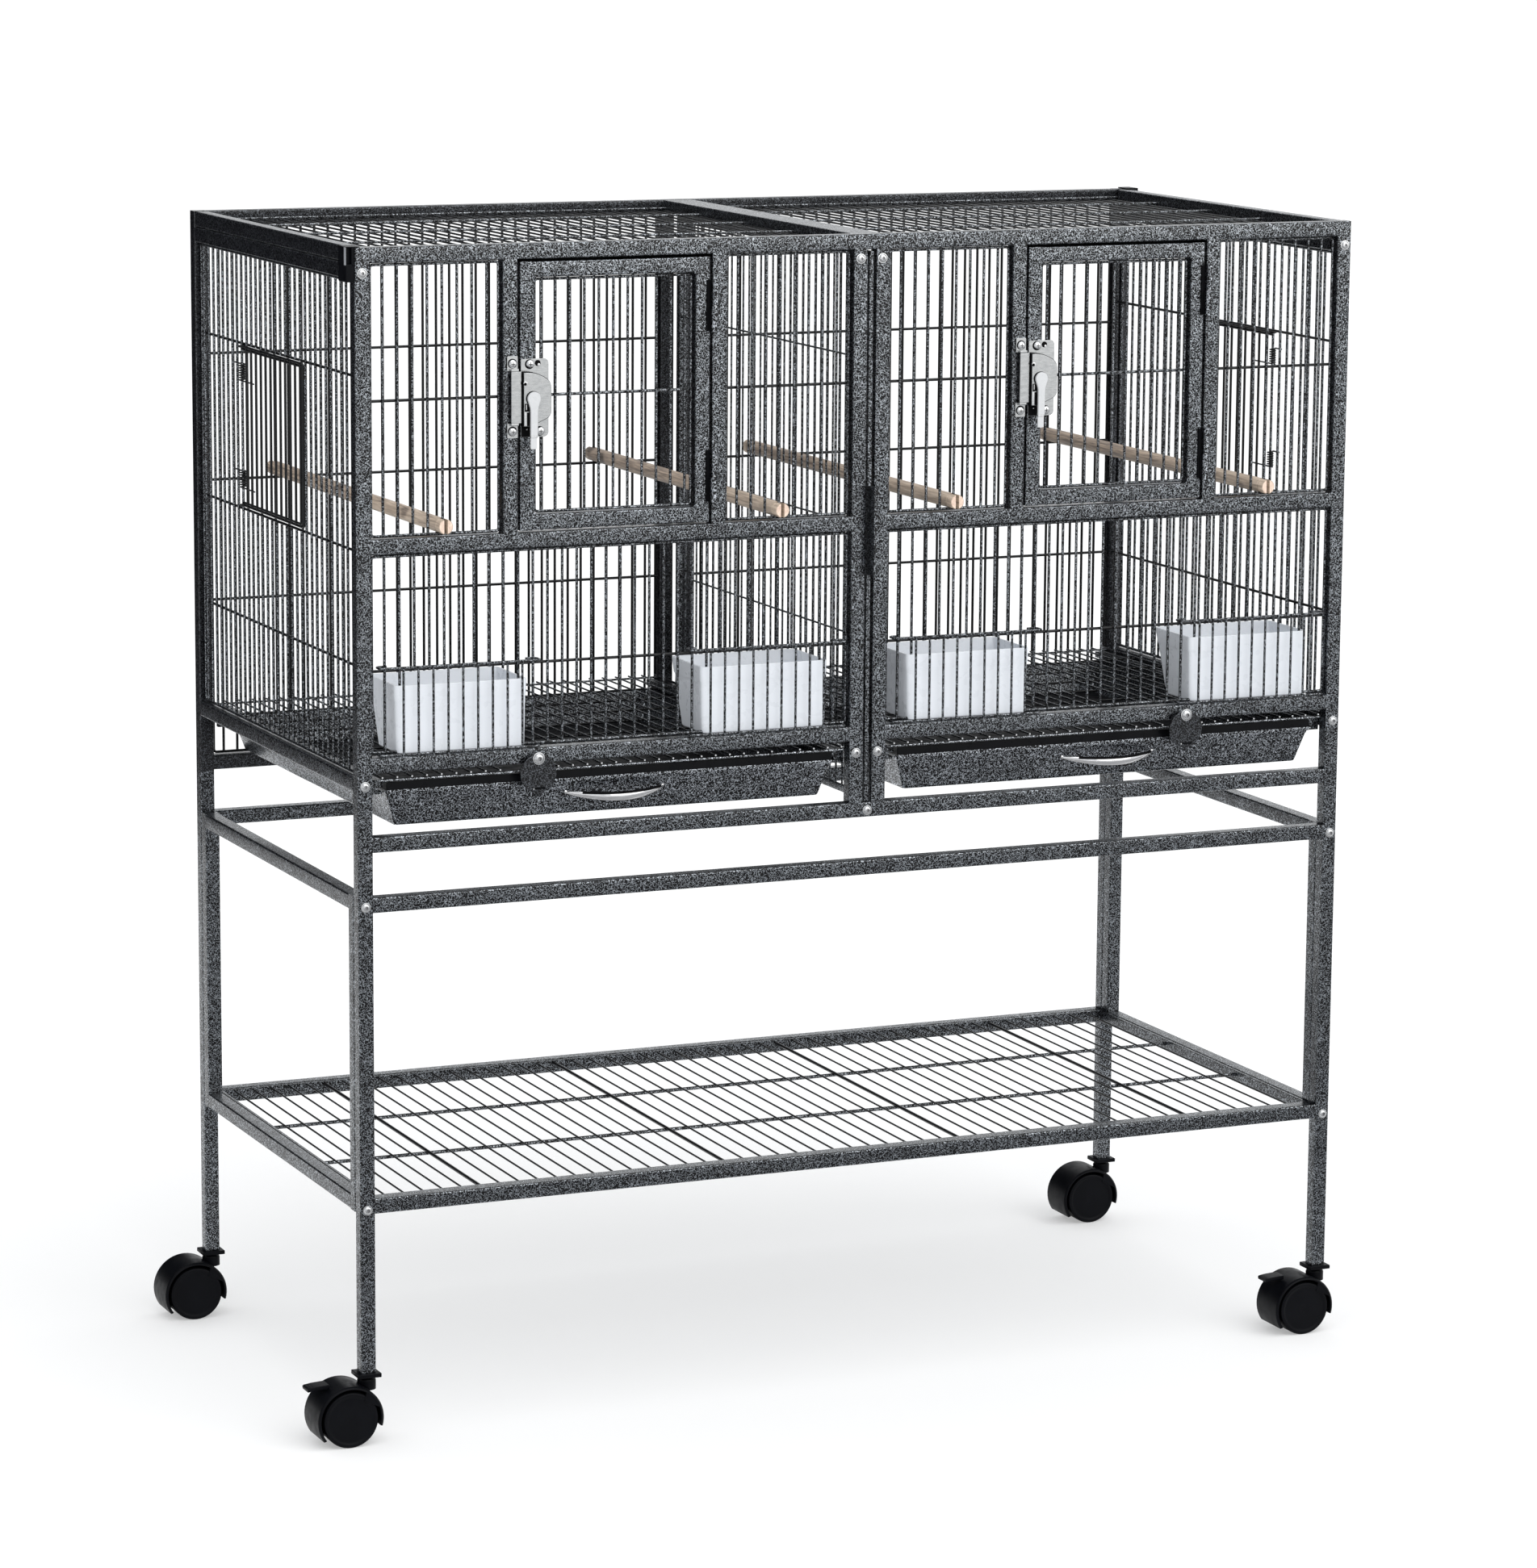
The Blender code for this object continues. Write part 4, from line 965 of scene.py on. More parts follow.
def hinge_halves():
    """The upper halves, welded to the stiles, and their pins."""
    for side, shift in (("left", 0.0), ("right", HALF)):
        piece = Piece(f"hinge_barrels_{side}", "vein")
        x = HINGE_X + shift
        for low, high in HINGE_SPANS:
            middle = (low + high) / 2
            knuckle(piece, x + 0.0004, middle + 0.0004, high)
            piece.turned([(0.0016, 0.0), (0.0016, 0.0012)], (x, HINGE_Y, middle - 0.0006), UP, 12, "zinc")
            piece.block((x, -0.0024, middle + 0.002), (x + 0.0048, 0.0012, high - 0.002), 0.0005)
            # painted shade: a thin dark strip in the gap beside the barrel
            piece.block((x + 0.0026, -0.0012, low + 0.001), (x + 0.0040, 0.0003, high - 0.001), 0.0002,
                        "matt", 1)
            for z in (middle + 0.006, high - 0.005):
                weld(piece, x + 0.0046, 0.0, z, 0.0020)
        piece.finish("cage", "hammertone_steel")


def front_door(side, shift):
    node = f"door_{side}"
    piece = Piece(f"front_door_{side}_frame", "vein")
    x0, x1 = DOOR_X[0] + 0.0007 + shift, DOOR_X[1] - 0.0010 + shift
    z0, z1 = DOOR_Z[0], DOOR_Z[1] - 0.0008
    for x in (x0, x1 - TUBE):
        piece.bar((x, 0.00015, z0), (x + TUBE, TUBE - 0.00015, z1), 2)
    for z in (z0, z1 - TUBE):
        piece.bar((x0 + 0.0016, 0.0002, z), (x1 - 0.0016, TUBE - 0.0002, z + TUBE), 0)
    for x, z in ((x0 + TUBE, z0 + TUBE), (x1 - TUBE, z0 + TUBE), (x0 + TUBE, z1 - TUBE),
                 (x1 - TUBE, z1 - TUBE)):
        weld(piece, x, 0.0005, z)
    x = HINGE_X + shift
    for low, high in HINGE_SPANS:
        middle = (low + high) / 2
        knuckle(piece, x - 0.0003, low, middle - 0.0004)
        # painted shade: dark blocks in the gaps on both sides of the barrel
        piece.block((x1 - 0.0022, -0.0024, low + 0.002), (x, 0.0012, middle - 0.002), 0.0005, "matt")
        piece.block((x - 0.0064, -0.0012, low + 0.001), (x - 0.0026, 0.0004, high - 0.001), 0.0002, "matt",
                    1)
        for z in (low + 0.005, middle - 0.006):
            weld(piece, x1 - 0.0058, 0.0, z, 0.0020)
    piece.finish(f"front_door_{side}", "hammertone_steel", node)
    wires = Piece(f"front_door_{side}_wires", "fine")
    y = FRONT_WIRE_Y
    left, right = x0 + TUBE + EDGE, x1 - TUBE - EDGE
    foot, head = z0 + TUBE + EDGE, z1 - TUBE - EDGE
    loop_x(wires, left, right, y, foot, head)
    for index in range(DOOR_WIRES):
        x = DOOR_FIRST_X + DOOR_PITCH * index + shift
        wires.rod((x, y, foot), (x, y, head))
    behind = y + 2 * WIRE - 0.0001
    wires.rod((left, behind, UPPER_CROSS_Z), (right, behind, UPPER_CROSS_Z))
    wires.finish(f"front_door_{side}", "hammertone_steel")


def pan_screw(piece, x, y, z, radius=0.0037):
    """A pan-head screw with a cross recess."""
    profile = [(radius, 0.0), (radius, 0.0007), (radius * 0.9, 0.0014), (radius * 0.6, 0.0018),
               (0.0, 0.0019)]
    piece.turned(profile, (x, y, z), FORWARD, 20, "zinc")
    reach, half = radius * 0.48, 0.00028
    # painted shade in the cross recess
    for wide, tall in ((reach, half), (half, reach)):
        piece.block((x - wide, y - 0.00195, z - tall), (x + wide, y - 0.0012, z + tall), 0.00008, "gap", 1)


def latch(side, shift):
    keeper = Piece(f"latch_keeper_{side}", "nickel")
    left, right = 0.1355 + shift, 0.1452 + shift
    for low, high in ((0.8700, 0.8828), (0.9272, 0.9400)):
        keeper.plate(rounded_rectangle(left, right, low, high, 0.0007, 2), -0.0015, -0.0003)
    strip = rounded_rectangle(0.1380 + shift, 0.1472 + shift, 0.883, 0.927, 0.0005, 2)
    keeper.plate(strip, -0.0050, -0.0040)
    # painted shade: a dark strip beside the keeper strip
    keeper.block((0.1382 + shift, -0.0047, 0.8835), (0.1392 + shift, -0.0003, 0.9265), 0.0003, "painted_shade")
    for z, tip in ((0.927, 0.9292), (0.883, 0.8808)):
        low, high = sorted((z, tip))
        keeper.block((0.1380 + shift, -0.0048, low), (0.1450 + shift, -0.0012, high), 0.0004)
    # painted shadow: a dark ring behind each screw head
    for z in (0.9334, 0.8757):
        keeper.turned([(0.0042, 0.0), (0.0042, 0.0002)], (0.1402 + shift, -0.0015, z + 0.0003), FORWARD, 20,
                      "gap")
        pan_screw(keeper, 0.1403 + shift, -0.0016, z)
    keeper.finish("cage", "chrome", f"keeper_{side}")

    body = Piece(f"latch_case_{side}", "nickel")
    left, right = 0.1480 + shift, 0.1732 + shift
    low, high, corner = 0.8705, 0.9373, 0.0042
    outline = [(left, low)] + arc(right - corner, low + corner, corner, -90, 0, 6)
    outline += arc(right - corner, high - corner, corner, 0, 90, 6) + [(left, high)]
    body.plate(outline, -0.0013, -0.0002)
    corner_x, top = 0.1482 + shift, 0.9262
    shape = [(0.0, -45.6), (6.5, -45.6), (9.5, -44.5), (12.6, -43.1), (17.3, -40.9), (21.0, -39.2),
             (22.6, -38.2),
             (23.9, -36.4), (24.6, -34.6), (24.8, -32.8), (24.8, -14.6), (24.6, -12.4), (24.1,
                                                                                         -10.2), (23.2, -8.2),
             (21.8, -6.6), (19.0, -4.6), (15.9, -3.0), (12.5, -1.6), (8.8, -0.6), (5.0, -0.1), (0.0, 0.0)]
    dome = [(corner_x + x / 1000, top + z / 1000) for x, z in shape]
    # painted shade: a dark outline plate behind the cover
    body.plate(inset(dome, -0.00045), -0.0076, -0.0012, 0.0004, "gap")
    body.plate(dome, -0.0084, -0.0074, 0.0004)
    slot = corner_x + 0.0004
    # painted shade in the slot and the hole, around the zinc bolts
    body.block((slot, -0.0086, 0.8930), (slot + 0.0048, -0.0080, 0.9000), 0.0003, "gap", 1)
    body.block((slot + 0.0012, -0.0087, 0.8945), (slot + 0.0022, -0.0081, 0.8992), 0.0002, "zinc", 1)
    body.block((slot, -0.0086, 0.8815), (slot + 0.0018, -0.0080, 0.8925), 0.0003, "zinc", 1)
    body.block((slot + 0.0020, -0.0086, 0.8808), (slot + 0.0060, -0.0080, 0.8925), 0.0003, "gap", 1)
    body.turned([(0.0020, 0.0), (0.0018, 0.0003), (0.0, 0.0004)], (corner_x + 0.0014, -0.0084, 0.9172),
                FORWARD, 12, "zinc")
    body.turned([(0.0014, 0.0), (0.0012, 0.0004), (0.0, 0.0005)], (corner_x + 0.0010, -0.0086, 0.9166),
                FORWARD, 12, "gap")
    # painted shadow: dark rings round the screw heads
    for x, z in ((0.1562, 0.9327), (0.1655, 0.8755)):
        body.turned([(0.0042, 0.0), (0.0042, 0.0002)], (x - 0.0004 + shift, -0.0013, z), FORWARD, 20, "gap")
        pan_screw(body, x + shift, -0.0014, z)
    body.turned([(0.0026, 0.0), (0.0026, 0.0003)], (0.1632 + shift, -0.0013, 0.9335), FORWARD, 14, "gap")
    body.turned([(0.0013, 0.0), (0.0011, 0.0006), (0.0, 0.0007)], (0.1640 + shift, -0.0014, 0.9322),
                FORWARD, 12,
                "zinc")
    # painted shade in the bottom hole
    body.block((left + 0.0002, -0.0022, 0.8708), (left + 0.0090, -0.0012, 0.8806), 0.0003, "gap", 1)
    body.block((left + 0.0044, -0.0025, 0.8766), (left + 0.0056, -0.0020, 0.8778), 0.0002, "zinc", 1)
    body.finish(f"front_door_{side}", "chrome", f"latch_body_{side}")

    lever = Piece(f"latch_handle_{side}", "nickel")
    x, z = LATCH_X - 0.0020 + shift, LATCH_Z + 0.0012
    head = arc(x, z, 0.0059, -28, 208, 18)
    grip = head + [(x - 0.0036, z - 0.0080), (x - 0.0033, z - 0.0110), (x - 0.0033, 0.8722),
                   (x + 0.0033, 0.8722),
                   (x + 0.0033, z - 0.0110), (x + 0.0036, z - 0.0080)]
    lever.plate(grip, -0.0118, -0.0094, 0.0007, "pale")
    tip = rounded_rectangle(x - 0.0030, x + 0.0026, 0.8610, 0.8716, 0.0012, 3)
    lever.plate(tip, -0.0106, -0.0092, 0.0004, "pale")
    neck = rounded_rectangle(x - 0.0031, x + 0.0031, 0.8706, 0.8728, 0.0004, 2)
    lever.plate(neck, -0.0108, -0.0093, 0.0003, "zinc")
    # painted shade: a dark outline behind the lever's head
    lever.plate(inset(head + [(x, z - 0.008)], -0.0004), -0.0094, -0.0088, 0.0003, "gap")
    lever.turned([(0.0030, 0.0), (0.0030, 0.0010)], (LATCH_X + shift, -0.0094, LATCH_Z), BACKWARD, 16)
    lever.finish(f"latch_lever_{side}", "chrome", f"latch_lever_{side}")


def nest_door(side, turn):
    piece = Piece(f"nest_door_{side}_wires", "line")
    piece.turn = turn
    x = SIDE_WIRE_X
    hinge = side_y(NEST_HINGE_WIRE)
    hook = hinge - 0.0010
    outer = x - 0.0004
    for offset in (0.0, 0.0024):
        line = [(x, hook, NEST_FOOT_Z + offset), (x, NEST_EDGE_Y + offset, NEST_FOOT_Z + offset),
                (x, NEST_EDGE_Y + offset, NEST_TOP_Z - offset), (x, hook, NEST_TOP_Z - offset)]
        piece.sweep(bent(line, 0.004), WIRE * 0.92, 8)
    for index in range(NEST_EDGE_WIRE + 1, NEST_HINGE_WIRE):
        y = side_y(index)
        piece.rod((outer, y, NEST_FOOT_Z), (outer, y, NEST_TOP_Z), WIRE * 0.95)
    for z in (NEST_FOOT_Z, NEST_TOP_Z):
        ring = []
        for step in range(14):
            angle = math.tau * step / 14
            ring.append((x + 0.0023 * math.cos(angle), hinge + 0.0023 * math.sin(angle), z))
        piece.sweep(ring, WIRE * 0.9, 8, None, True)
    piece.finish(f"nest_flap_{side}", "hammertone_steel", f"nest_door_{side}")
    springs = Piece(f"nest_springs_{side}", "line")
    springs.turn = turn
    for foot in (0.893, 0.797):
        line = [(x - 0.0026, hinge - 0.040, foot), (x - 0.0026, hinge - 0.004, foot)]
        turns = 7
        for step in range(turns * 12 + 1):
            angle = math.pi + math.tau * step / 12
            z = foot + 0.0150 * step / (turns * 12)
            line.append((x + 0.0026 * math.cos(angle), hinge + 0.0026 * math.sin(angle), z))
        line += [(x - 0.0026, hinge + 0.004, foot + 0.0150), (x - 0.0026, hinge + 0.0120, foot + 0.0150)]
        springs.sweep(line, 0.00075, 6)
    springs.finish(f"nest_flap_{side}", "hammertone_steel")


# Feed gates, cups, perches

def feed_gate(number, ends, first, shift):
    piece = Piece(f"feed_gate_{number}_wires", "fine")
    x0, x1 = ends[0] + shift, ends[1] + shift
    y = GATE_Y
    hook_y = FRONT_WIRE_Y + WIRE + GATE_WIRE + 0.0004
    for z in (GATE_FOOT_Z, GATE_TOP_Z):
        line = [(x0 + 0.0011 + 0.0095, hook_y, z), (x0 + 0.0011, hook_y, z), (x0 + 0.0011, y + 0.0006, z),
                (x1 - 0.0011, y + 0.0006, z), (x1 - 0.0011, hook_y, z), (x1 - 0.0011 - 0.0095, hook_y, z)]
        piece.sweep(bent(line, 0.0035, 5), GATE_WIRE * 0.96, 8)
    before = y - GATE_WIRE + 0.0002
    for index in range(first, first + GATE_WIRES):
        x = FIELD_FIRST_X + PITCH * index + shift
        piece.rod((x, before, GATE_FOOT_Z - 0.0012), (x, before, GATE_TOP_Z + 0.0012), GATE_WIRE)
    piece.finish(f"feed_gate_{number}", "hammertone_steel", f"cup_gate_{number}")


def box_ring(middle_x, width, y0, y1, z, radius, steps=5):
    x0, x1 = middle_x - width / 2, middle_x + width / 2
    flat = rounded_rectangle(x0, x1, y0, y1, radius, steps)
    return [(x, y, z) for x, y in reversed(flat)]


def cup(number, middle):
    """A moulded cup: tapered walls, a stepped band under the rim, a round-edged floor."""
    piece = Piece(f"feed_cup_{number}_moulding", "white")
    low_z, top_z = CUP_Z
    wall = 0.0018
    band = 0.0130

    def outer(share, grow, radius):
        width = CUP_FLOOR[0] + (CUP_TOP[0] - CUP_FLOOR[0]) * share + grow * 2
        back = CUP_FLOOR[2] + (CUP_TOP[2] - CUP_FLOOR[2]) * share + grow
        height = low_z + (top_z - low_z) * share
        return box_ring(middle, width, CUP_TOP[1] - grow, back, height, radius)

    rings = [outer(0.0, -0.0022, 0.0030), outer(0.006, -0.0007, 0.0036), outer(0.025, 0.0, 0.0040)]
    step = 1.0 - band / (top_z - low_z)
    rings += [outer(step - 0.012, 0.0, 0.0040), outer(step, 0.0006, 0.0044), outer(0.985, 0.0006, 0.0044),
              outer(1.0, 0.0001, 0.0040), outer(1.0, -wall + 0.0004, 0.0030), outer(0.985, -wall, 0.0028)]
    rings += [outer(0.08, -wall - 0.0002, 0.0028), outer(0.035, -wall - 0.0014, 0.0020)]
    piece.rings(rings)
    piece.finish(f"feed_cup_{number}", "white_plastic", f"cup_{number}")


def perch(number, x, lean):
    """A turned perch, slotted over a wire at each end; its back end sits lean to the right."""
    piece = Piece(f"perch_{number}_dowel", "wood")
    y0, y1 = (corner.y for corner in place_box(f"perch_{number}"))
    radius = PERCH_RADIUS
    half = 0.0016
    slot_depth = 0.0130
    ease = 0.0006
    steps = 12

    def half_ring(side, y, reach):
        """Half of the section, flat on the slot's side."""
        low = math.asin(half / reach)
        ring = []
        for step in range(steps + 1):
            angle = low + (math.pi - 2 * low) * step / steps
            ring.append((x + side * reach * math.sin(angle), y, PERCH_Z + reach * math.cos(angle)))
        ring = [(x + side * max(half, abs(px - x)), y, pz) for px, _, pz in ring]
        return ring if side < 0 else list(reversed(ring))

    for sign, end in ((1, y0), (-1, y1)):
        for side in (-1, 1):
            rings = []
            for along, reach in ((0.0, radius - ease), (ease, radius), (0.0082, radius),
                                 (0.0086, radius - 0.0005),
                                 (0.0094, radius - 0.0005), (0.0098, radius), (slot_depth, radius)):
                rings.append(half_ring(side, end + sign * along, reach))
            if sign < 0:
                rings.reverse()
            ends = (rings[0], rings[-1])
            piece.rings(rings, "wood", False, (False, False))
            outer_end = ends[0] if sign > 0 else ends[1]
            order = range(len(outer_end)) if sign > 0 else reversed(range(len(outer_end)))
            piece.put(outer_end, [tuple(order)], "end")
        # painted shade: a near-black ring in the groove near each end
        groove = [(radius - 0.00045, 0.0), (radius - 0.00045, 0.0007)]
        piece.turned(groove, (x, end + sign * 0.0087 if sign > 0 else end - 0.0094, PERCH_Z), BACKWARD, 24,
                     "gap")
    length = y1 - y0 - 2 * slot_depth
    piece.turned([(radius, 0.0), (radius, length * 0.5), (radius, length)], (x, y0 + slot_depth, PERCH_Z),
                 BACKWARD, 24)
    for point in piece.points:
        point.x += lean * point.y / BACK_WIRE_Y
    piece.finish("cage", "wood", f"perch_{number}")


# Trays, grates and locks

def tray(side, shift):
    middle = TRAY_MIDDLE_X + shift
    # the pan takes the brighter copy of the hammertone, painted light on its sloped front
    piece = Piece(f"litter_tray_{side}_pan", "tray")
    low_z, top_z = TRAY_Z
    sheet = 0.0010
    top_x, floor_x = TRAY_TOP[0] / 2, TRAY_FLOOR[0] / 2

    def ring(share, grow, z):
        width = (floor_x + (top_x - floor_x) * share) * 2 + grow * 2
        y0 = TRAY_FLOOR[1] + (TRAY_TOP[1] - TRAY_FLOOR[1]) * share - grow
        y1 = TRAY_FLOOR[2] + (TRAY_TOP[2] - TRAY_FLOOR[2]) * share + grow
        return box_ring(middle, width, y0, y1, z, 0.0025, 3)

    rings = [ring(0.0, -0.0012, low_z), ring(0.012, -0.0003, low_z + 0.0004),
             ring(0.05, 0.0, low_z + 0.0016),
             ring(0.84, 0.0, top_z - 0.0050), ring(0.845, 0.0004, top_z - 0.0048),
             ring(0.98, 0.0004, top_z - 0.0006), ring(1.0, 0.0, top_z), ring(1.0, -sheet, top_z),
             ring(0.05, -sheet, low_z + 0.0022), ring(0.0, -0.0024, low_z + 0.0010)]
    piece.rings(rings)
    lining = [ring(0.0, -0.0020, low_z + 0.0008), ring(0.05, -sheet + 0.0003, low_z + 0.0018),
              ring(0.985, -sheet + 0.0003, top_z - 0.0004), ring(0.985, -sheet - 0.0003, top_z - 0.0004),
              ring(0.05, -sheet - 0.0003, low_z + 0.0026), ring(0.0, -0.0028, low_z + 0.0014)]
    piece.rings(lining, "vein")
    # painted shade: a dark plate over the tray's floor
    piece.rings([ring(0.02, -0.0030, low_z + 0.0012), ring(0.02, -0.0030, low_z + 0.0030)], "matt")
    rim = 0.0035
    for sign in (-1, 1):
        x0, x1 = sorted((middle + sign * (top_x - 0.0006), middle + sign * (top_x + rim)))
        piece.bar((x0, 0.009, top_z - 0.0012), (x1, 0.428, top_z - 0.0002), 1, 0.0003)
    # painted shade: a near-black band along the front lip, under the grate's front edge
    lip_z = RUNNER_Z[1] - 0.0006
    piece.bar((middle - top_x + 0.0005, TRAY_TOP[1] - 0.0012, top_z - 0.0015),
              (middle + top_x - 0.0005, TRAY_TOP[1] + 0.0006, lip_z), 0, 0.0006, "sheet")
    piece.bar((middle - top_x + 0.0005, TRAY_TOP[1] - 0.0017, top_z - 0.0022),
              (middle + top_x - 0.0005, TRAY_TOP[1] - 0.0008, top_z + 0.0010), 0, 0.0003)
    piece.finish(f"litter_tray_{side}", "hammertone_steel", f"tray_{side}")

    bow = Piece(f"tray_bow_{side}", "bow")
    half_span, depth = 0.0465, 0.0165

    def bow_place(share):
        """A point on the bow's middle line, and how thick the bow is there."""
        curve = math.sin(math.pi * share)
        x = middle + 0.0025 - half_span + 2 * half_span * share
        return (x, 0.0088 - depth * curve ** 0.8, 0.5594 - 0.0034 * curve), 0.16 + 0.84 * curve ** 0.7

    rings = []
    for step in range(41):
        (x, y, z), swell = bow_place(step / 40)
        ring = []
        for turn in range(14):
            angle = math.tau * turn / 14
            ring.append((x, y + 0.0021 * swell * math.cos(angle), z + 0.0042 * swell * math.sin(angle)))
        rings.append(list(reversed(ring)))
    bow.rings(rings)
    shade = []
    for step in range(31):
        (x, y, z), swell = bow_place(0.14 + 0.80 * step / 30)
        shade.append((x, y - 0.0008, z + 0.0030 * swell))
    bow.sweep(shade, 0.0013, 8, "gap")
    for sign in (-1, 1):
        bow.turned([(0.0016, 0.0), (0.0015, 0.0010), (0.0, 0.0014)],
                   (middle + 0.0025 + sign * (half_span - 0.0012), 0.0100, 0.5594), FORWARD, 12)
    bow.finish(f"litter_tray_{side}", "chrome", f"tray_handle_{side}")


def grate(side, shift, lock_x):
    """Wires along y that lie on a wire frame and on cross wires."""
    piece = Piece(f"floor_grate_{side}_wires", "fine")
    low, high = place_box(f"grate_{side}")
    wire = GRATE_WIRE
    top = high.z - 0.0012
    under = 0.5814
    x0, x1 = low.x + wire, high.x - wire
    y0, y1 = low.y + wire, high.y - wire
    wire_loop(piece, [(x0, y1, under), (x0, y0, under), (x1, y0, under), (x1, y1, under)], 0.004, wire)
    # the front wire takes the brighter copy of the hammertone, a painted highlight along the front edge
    piece.rod((x0 + 0.004, y0 - 0.0003, under), (x1 - 0.004, y0 - 0.0003, under), wire * 1.15, 8, "tray")
    for index in range(GRATE_WIRES):
        x = GRATE_FIRST_X + GRATE_PITCH * index + shift
        if x0 + 0.003 < x < x1 - 0.003 and abs(x - lock_x) > LOCK_RADIUS + 0.0014:
            piece.rod((x, y0 - 0.0004, top), (x, y1, top), wire * 0.88)
            # painted highlights: pale dots at the wire tips
            piece.turned([(wire * 0.9, 0.0), (wire * 0.6, 0.0004), (0.0, 0.0005)], (x, y0 - 0.0003, top),
                         FORWARD, 8, "pale")
    # the cross wires under the grate take the near-black wire coat, painted shade
    for step in range(GRATE_CROSS_WIRES):
        y = GRATE_CROSS_FIRST + GRATE_CROSS_PITCH * step
        piece.rod((x0, y, under), (x1, y, under), wire, 8, "line")
    piece.finish(f"floor_grate_{side}", "hammertone_steel", f"grate_{side}")


def lock_disc(side, x):
    # the disc takes the darker copy of the hammertone, painted shade
    piece = Piece(f"tray_lock_{side}_disc", "painted_shade")
    centre_z = LOCK_Z - 0.0133
    outline = arc(x, centre_z, LOCK_RADIUS, 0, 360, 48)[:-1]
    piece.plate(outline, -0.0062, -0.0048, 0.0004)
    tab_z = centre_z - LOCK_RADIUS - 0.0010
    piece.block((x - 0.0029, -0.0061, tab_z - 0.0024), (x + 0.0029, -0.0049, tab_z + 0.0040), 0.0005)
    # painted shade: a dark slot line under the disc, with a painted highlight at its left end
    piece.block((x - 0.0050, -0.0068, centre_z - 0.0136), (x + 0.0062, -0.0058, centre_z - 0.0118), 0.0002,
                "matt", 1)
    piece.block((x - 0.0050, -0.0069, centre_z - 0.0136), (x - 0.0040, -0.0058, centre_z - 0.0124), 0.0002,
                "pale", 1)
    piece.finish(f"tray_lock_{side}", "hammertone_steel", f"lock_disc_{side}")
    bolt = Piece(f"tray_lock_{side}_bolt", "zinc")
    bolt.turned([(0.0040, 0.0), (0.0040, 0.0042)], (x, -0.0003, LOCK_Z), FORWARD, 16)
    bolt.button_bolt(x, -0.0065, LOCK_Z, -1, 1.12)
    bolt.finish("cage", "chrome")


# Casters

def caster(number, x, y, braked):
    z = WHEEL_RADIUS
    axle_x = x - CASTER_TRAIL
    plug = Piece(f"leg_plug_{number}_cap", "black")
    plug.block((x - 0.0105, y - 0.0105, 0.0580), (x + 0.0105, y + 0.0105, LEG_FOOT_Z - 0.0003), 0.0006)
    plug.finish("cage", "black_plastic", f"leg_plug_{number}")

    body = Piece(f"caster_{number}_hood", "black")
    outer, inner, half = 0.0300, 0.0275, 0.0200
    section = [(outer - 0.0015, -half), (outer, -half + 0.0015), (outer, half - 0.0015),
               (outer - 0.0015, half),
               (inner, half), (inner, 0.0045), (inner, -0.0045), (inner, -half)]
    rings = []
    for step in range(41):
        angle = math.radians(-15 + 230 * step / 40)
        ring = [(axle_x + radius * math.cos(angle), y + across, z + radius * math.sin(angle))
                for radius, across in section]
        rings.append(ring)
    body.rings(rings)
    web = arc(axle_x, z, 0.0280, -15, 215, 28) + [(axle_x - 0.0046, z), (axle_x + 0.0046, z)]
    body.plate(web, y - 0.0045, y + 0.0045, 0.0003, "matt")
    stem = [(0.0082, 0.0), (0.0082, 0.0080), (0.0074, 0.0092), (0.0050, 0.0094), (0.0042, 0.0100)]
    body.turned(stem, (x, y, 0.0466), UP, 24)
    body.turned([(0.0042, 0.0), (0.0042, 0.0018)], (x, y, 0.0563), UP, 20, "zinc")
    cheek = arc(axle_x, z, 0.0276, 20, 60, 6)
    body.plate([(axle_x + 0.0120, z + 0.016)] + cheek, y - 0.0200, y - 0.0045, 0.0004)
    body.finish(f"caster_{number}", "black_plastic", f"caster_body_{number}")

    wheels = Piece(f"caster_{number}_twin_wheels", "black")
    for sign in (-1, 1):
        low, high = 0.0055, 0.0197
        face = [(0.0250, 0.0), (0.0250, high - low - 0.0016), (0.0242, high - low - 0.0006),
                (0.0228, high - low),
                (0.0216, high - low - 0.0002), (0.0205, high - low - 0.0009), (0.0190, high - low - 0.0010),
                (0.0060, high - low - 0.0004), (0.0046, high - low - 0.0007), (0.0, high - low - 0.0007)]
        wheels.turned(face[:3], (axle_x, y + sign * low, z), (0, sign, 0), 48, "matt", (), (True, False))
        wheels.turned(face[2:], (axle_x, y + sign * low, z), (0, sign, 0), 48, "black", (), (False, False))
    wheels.turned([(0.0040, 0.0), (0.0040, 0.0120)], (axle_x, y - 0.006, z), BACKWARD, 16, "zinc")
    wheels.finish(f"wheels_{number}", "black_plastic", f"caster_wheels_{number}")

    if braked:
        pedal = Piece(f"brake_{number}_pedal", "black")
        low, high = place_box(f"brake_pedal_{number}")
        top, foot = high.z, low.z
        shape = [(high.x, top - 0.0040), (high.x, top), (high.x - 0.012, top - 0.0007),
                 (low.x + 0.0012, top - 0.0016), (low.x, top - 0.0024), (low.x + 0.0003, foot + 0.0002),
                 (low.x + 0.0010, foot), (high.x - 0.012, foot + 0.0012)]
        pedal.plate(shape, low.y, high.y, 0.0006)
        for step in range(4):
            rib = low.x + 0.0016 + 0.0019 * step
            height = top - 0.0016 + 0.00008 * step
            pedal.block((rib, low.y + 0.0010, height - 0.0008),
                        (rib + 0.0009, high.y - 0.0010, height + 0.0005), 0.0003)
        pedal.finish(f"brake_{number}", "black_plastic", f"brake_pedal_{number}")


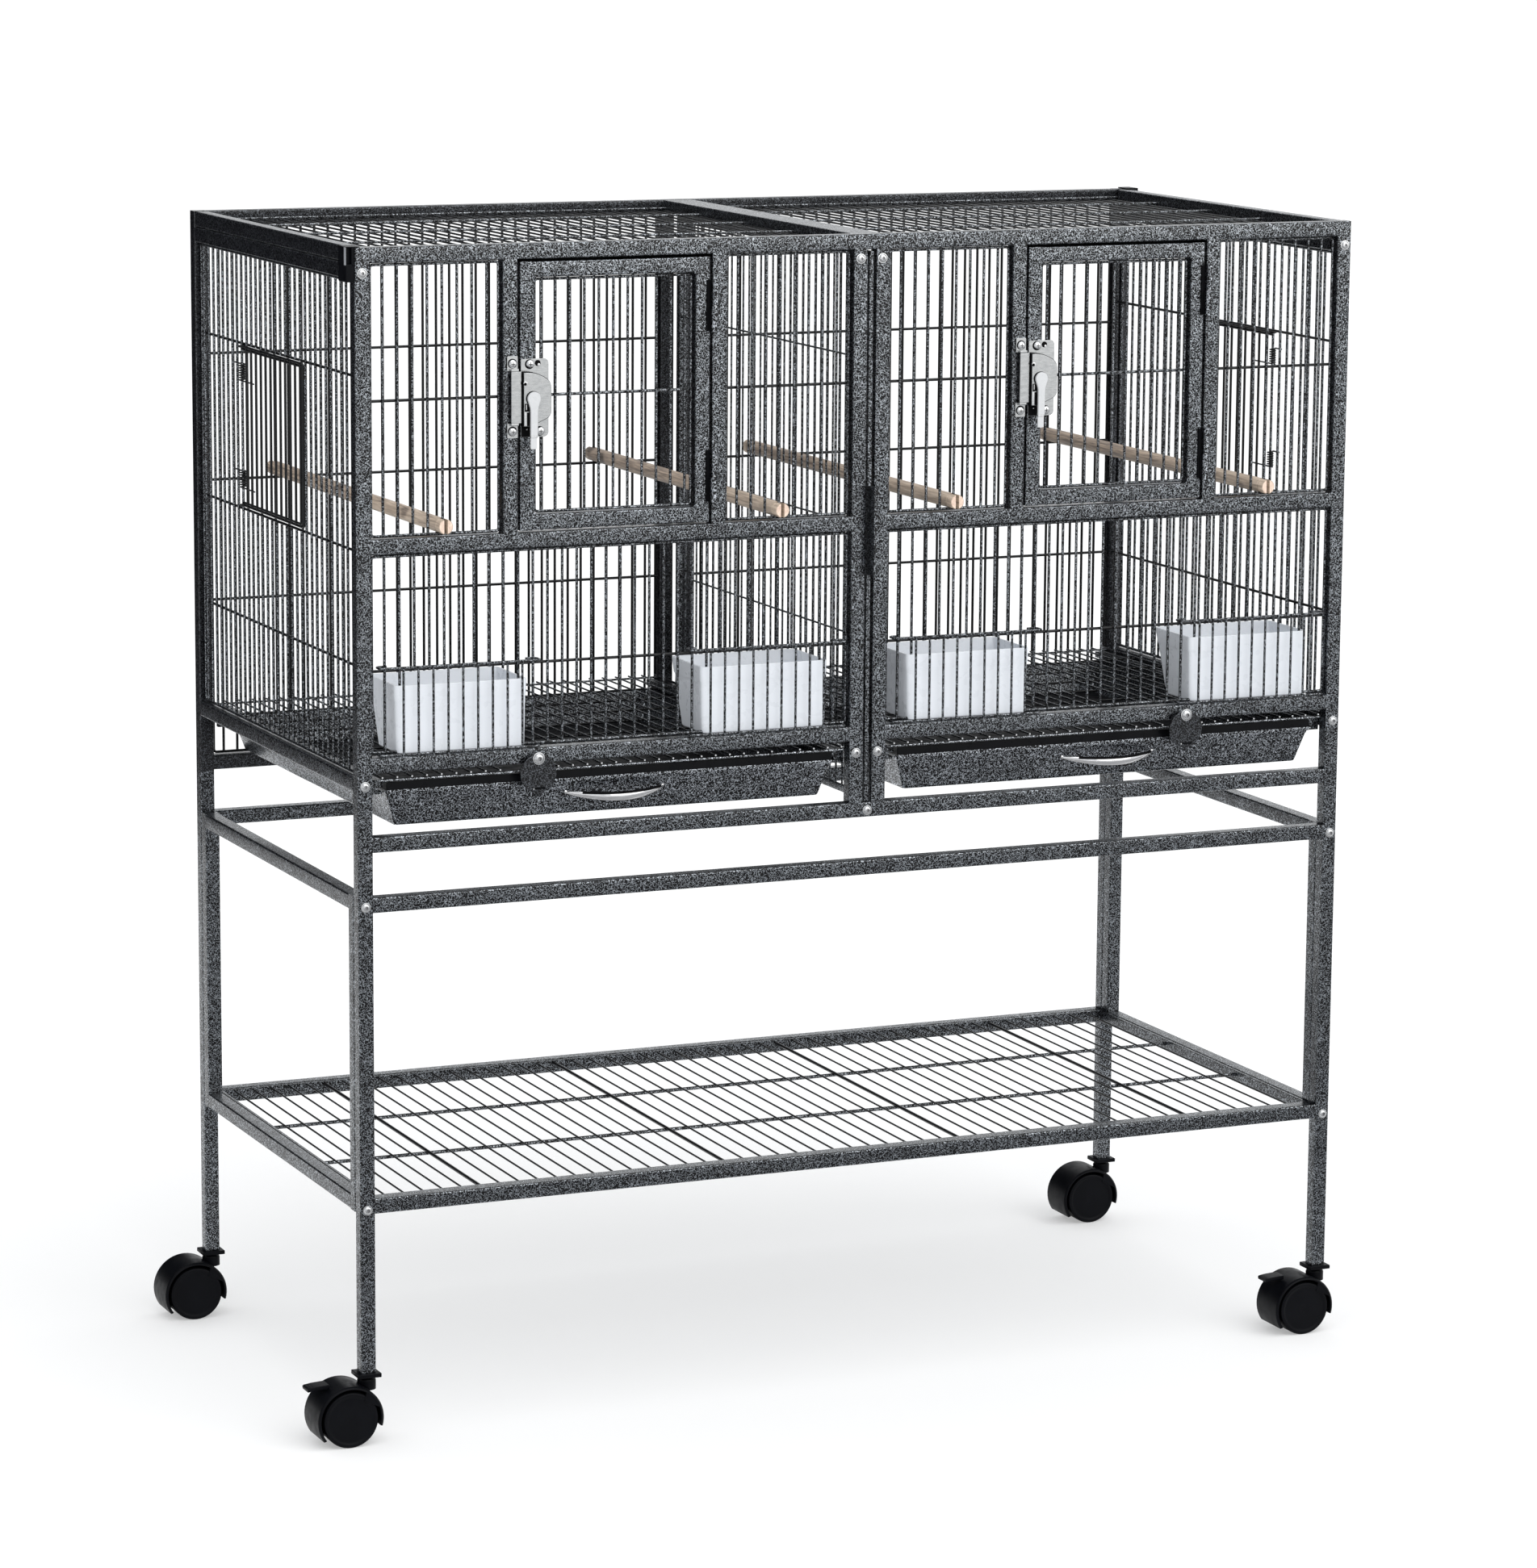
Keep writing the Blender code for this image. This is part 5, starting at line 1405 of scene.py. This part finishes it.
def build():
    front_frame()
    front_wires()
    back_frame()
    for side, turn in (("left", False), ("right", True)):
        side_panel(side, turn)
        nest_door(side, turn)
    roof()
    bolts()
    end_caps()
    stand()
    shelf()
    divider()
    tray_racks()
    hinge_halves()
    for half, side in enumerate(SIDES):
        shift = HALF * half
        front_door(side, shift)
        latch(side, shift)
        tray(side, shift)
        grate(side, shift, LOCK_X[half])
        lock_disc(side, LOCK_X[half])
        for place in range(2):
            number = 2 * half + place + 1
            feed_gate(number, GATE_ENDS_X[place], GATE_FIRST[place], shift)
            cup(number, CUP_X[place] + shift)
            perch(number, PERCH_X[place] + shift, PERCH_LEAN[place] + PERCH_RIGHT_LEAN * half)
    axis = TUBE / 2
    corners = [(axis, axis), (WIDTH - axis, axis), (axis, DEPTH - axis), (WIDTH - axis, DEPTH - axis)]
    for number, (x, y) in enumerate(corners, 1):
        caster(number, x, y, number <= 2)


build()
stage_plane("floor", (400.0, 400.0), (0.0, 0.0, 0.0), (0.0, 0.0, 0.0), plain_floor())
FLOOR_BLACK = card("dark_card", (0.012, 0.012, 0.015), (0.014, 0.014, 0.017))
GREY = card("grey_mat", (0.40, 0.40, 0.405), (0.42, 0.42, 0.425))
dark_plane = stage_plane("dark_card", (7.0, 3.2), (-2.2, 3.6, 1.6), (math.pi / 2, 0.0, 0.42), FLOOR_BLACK)
mat = stage_plane("grey_mat", (9.0, 3.2), (0.6, -2.0, 0.001), (0.0, 0.0, 0.0), GREY)
softbox = stage_plane("softbox", (4.0, 2.6), (1.9, -3.4, 2.05), (math.pi / 2, 0.0, 0.33), bright_card())
dark_mat = stage_plane("dark_mat", (7.0, 1.7), (-1.75, 3.25, 0.001), (0.0, 0.0, 0.38), FLOOR_BLACK)
for hidden in (dark_plane, mat, softbox, dark_mat):
    hidden.visible_camera = False
    hidden.visible_diffuse = False
    hidden.visible_shadow = False
    hidden.visible_transmission = False
add_world()
add_sun("key", 1.35, 60.0, (38.0, 0.0, 12.0))
bpy.context.scene.view_settings.view_transform = "Standard"
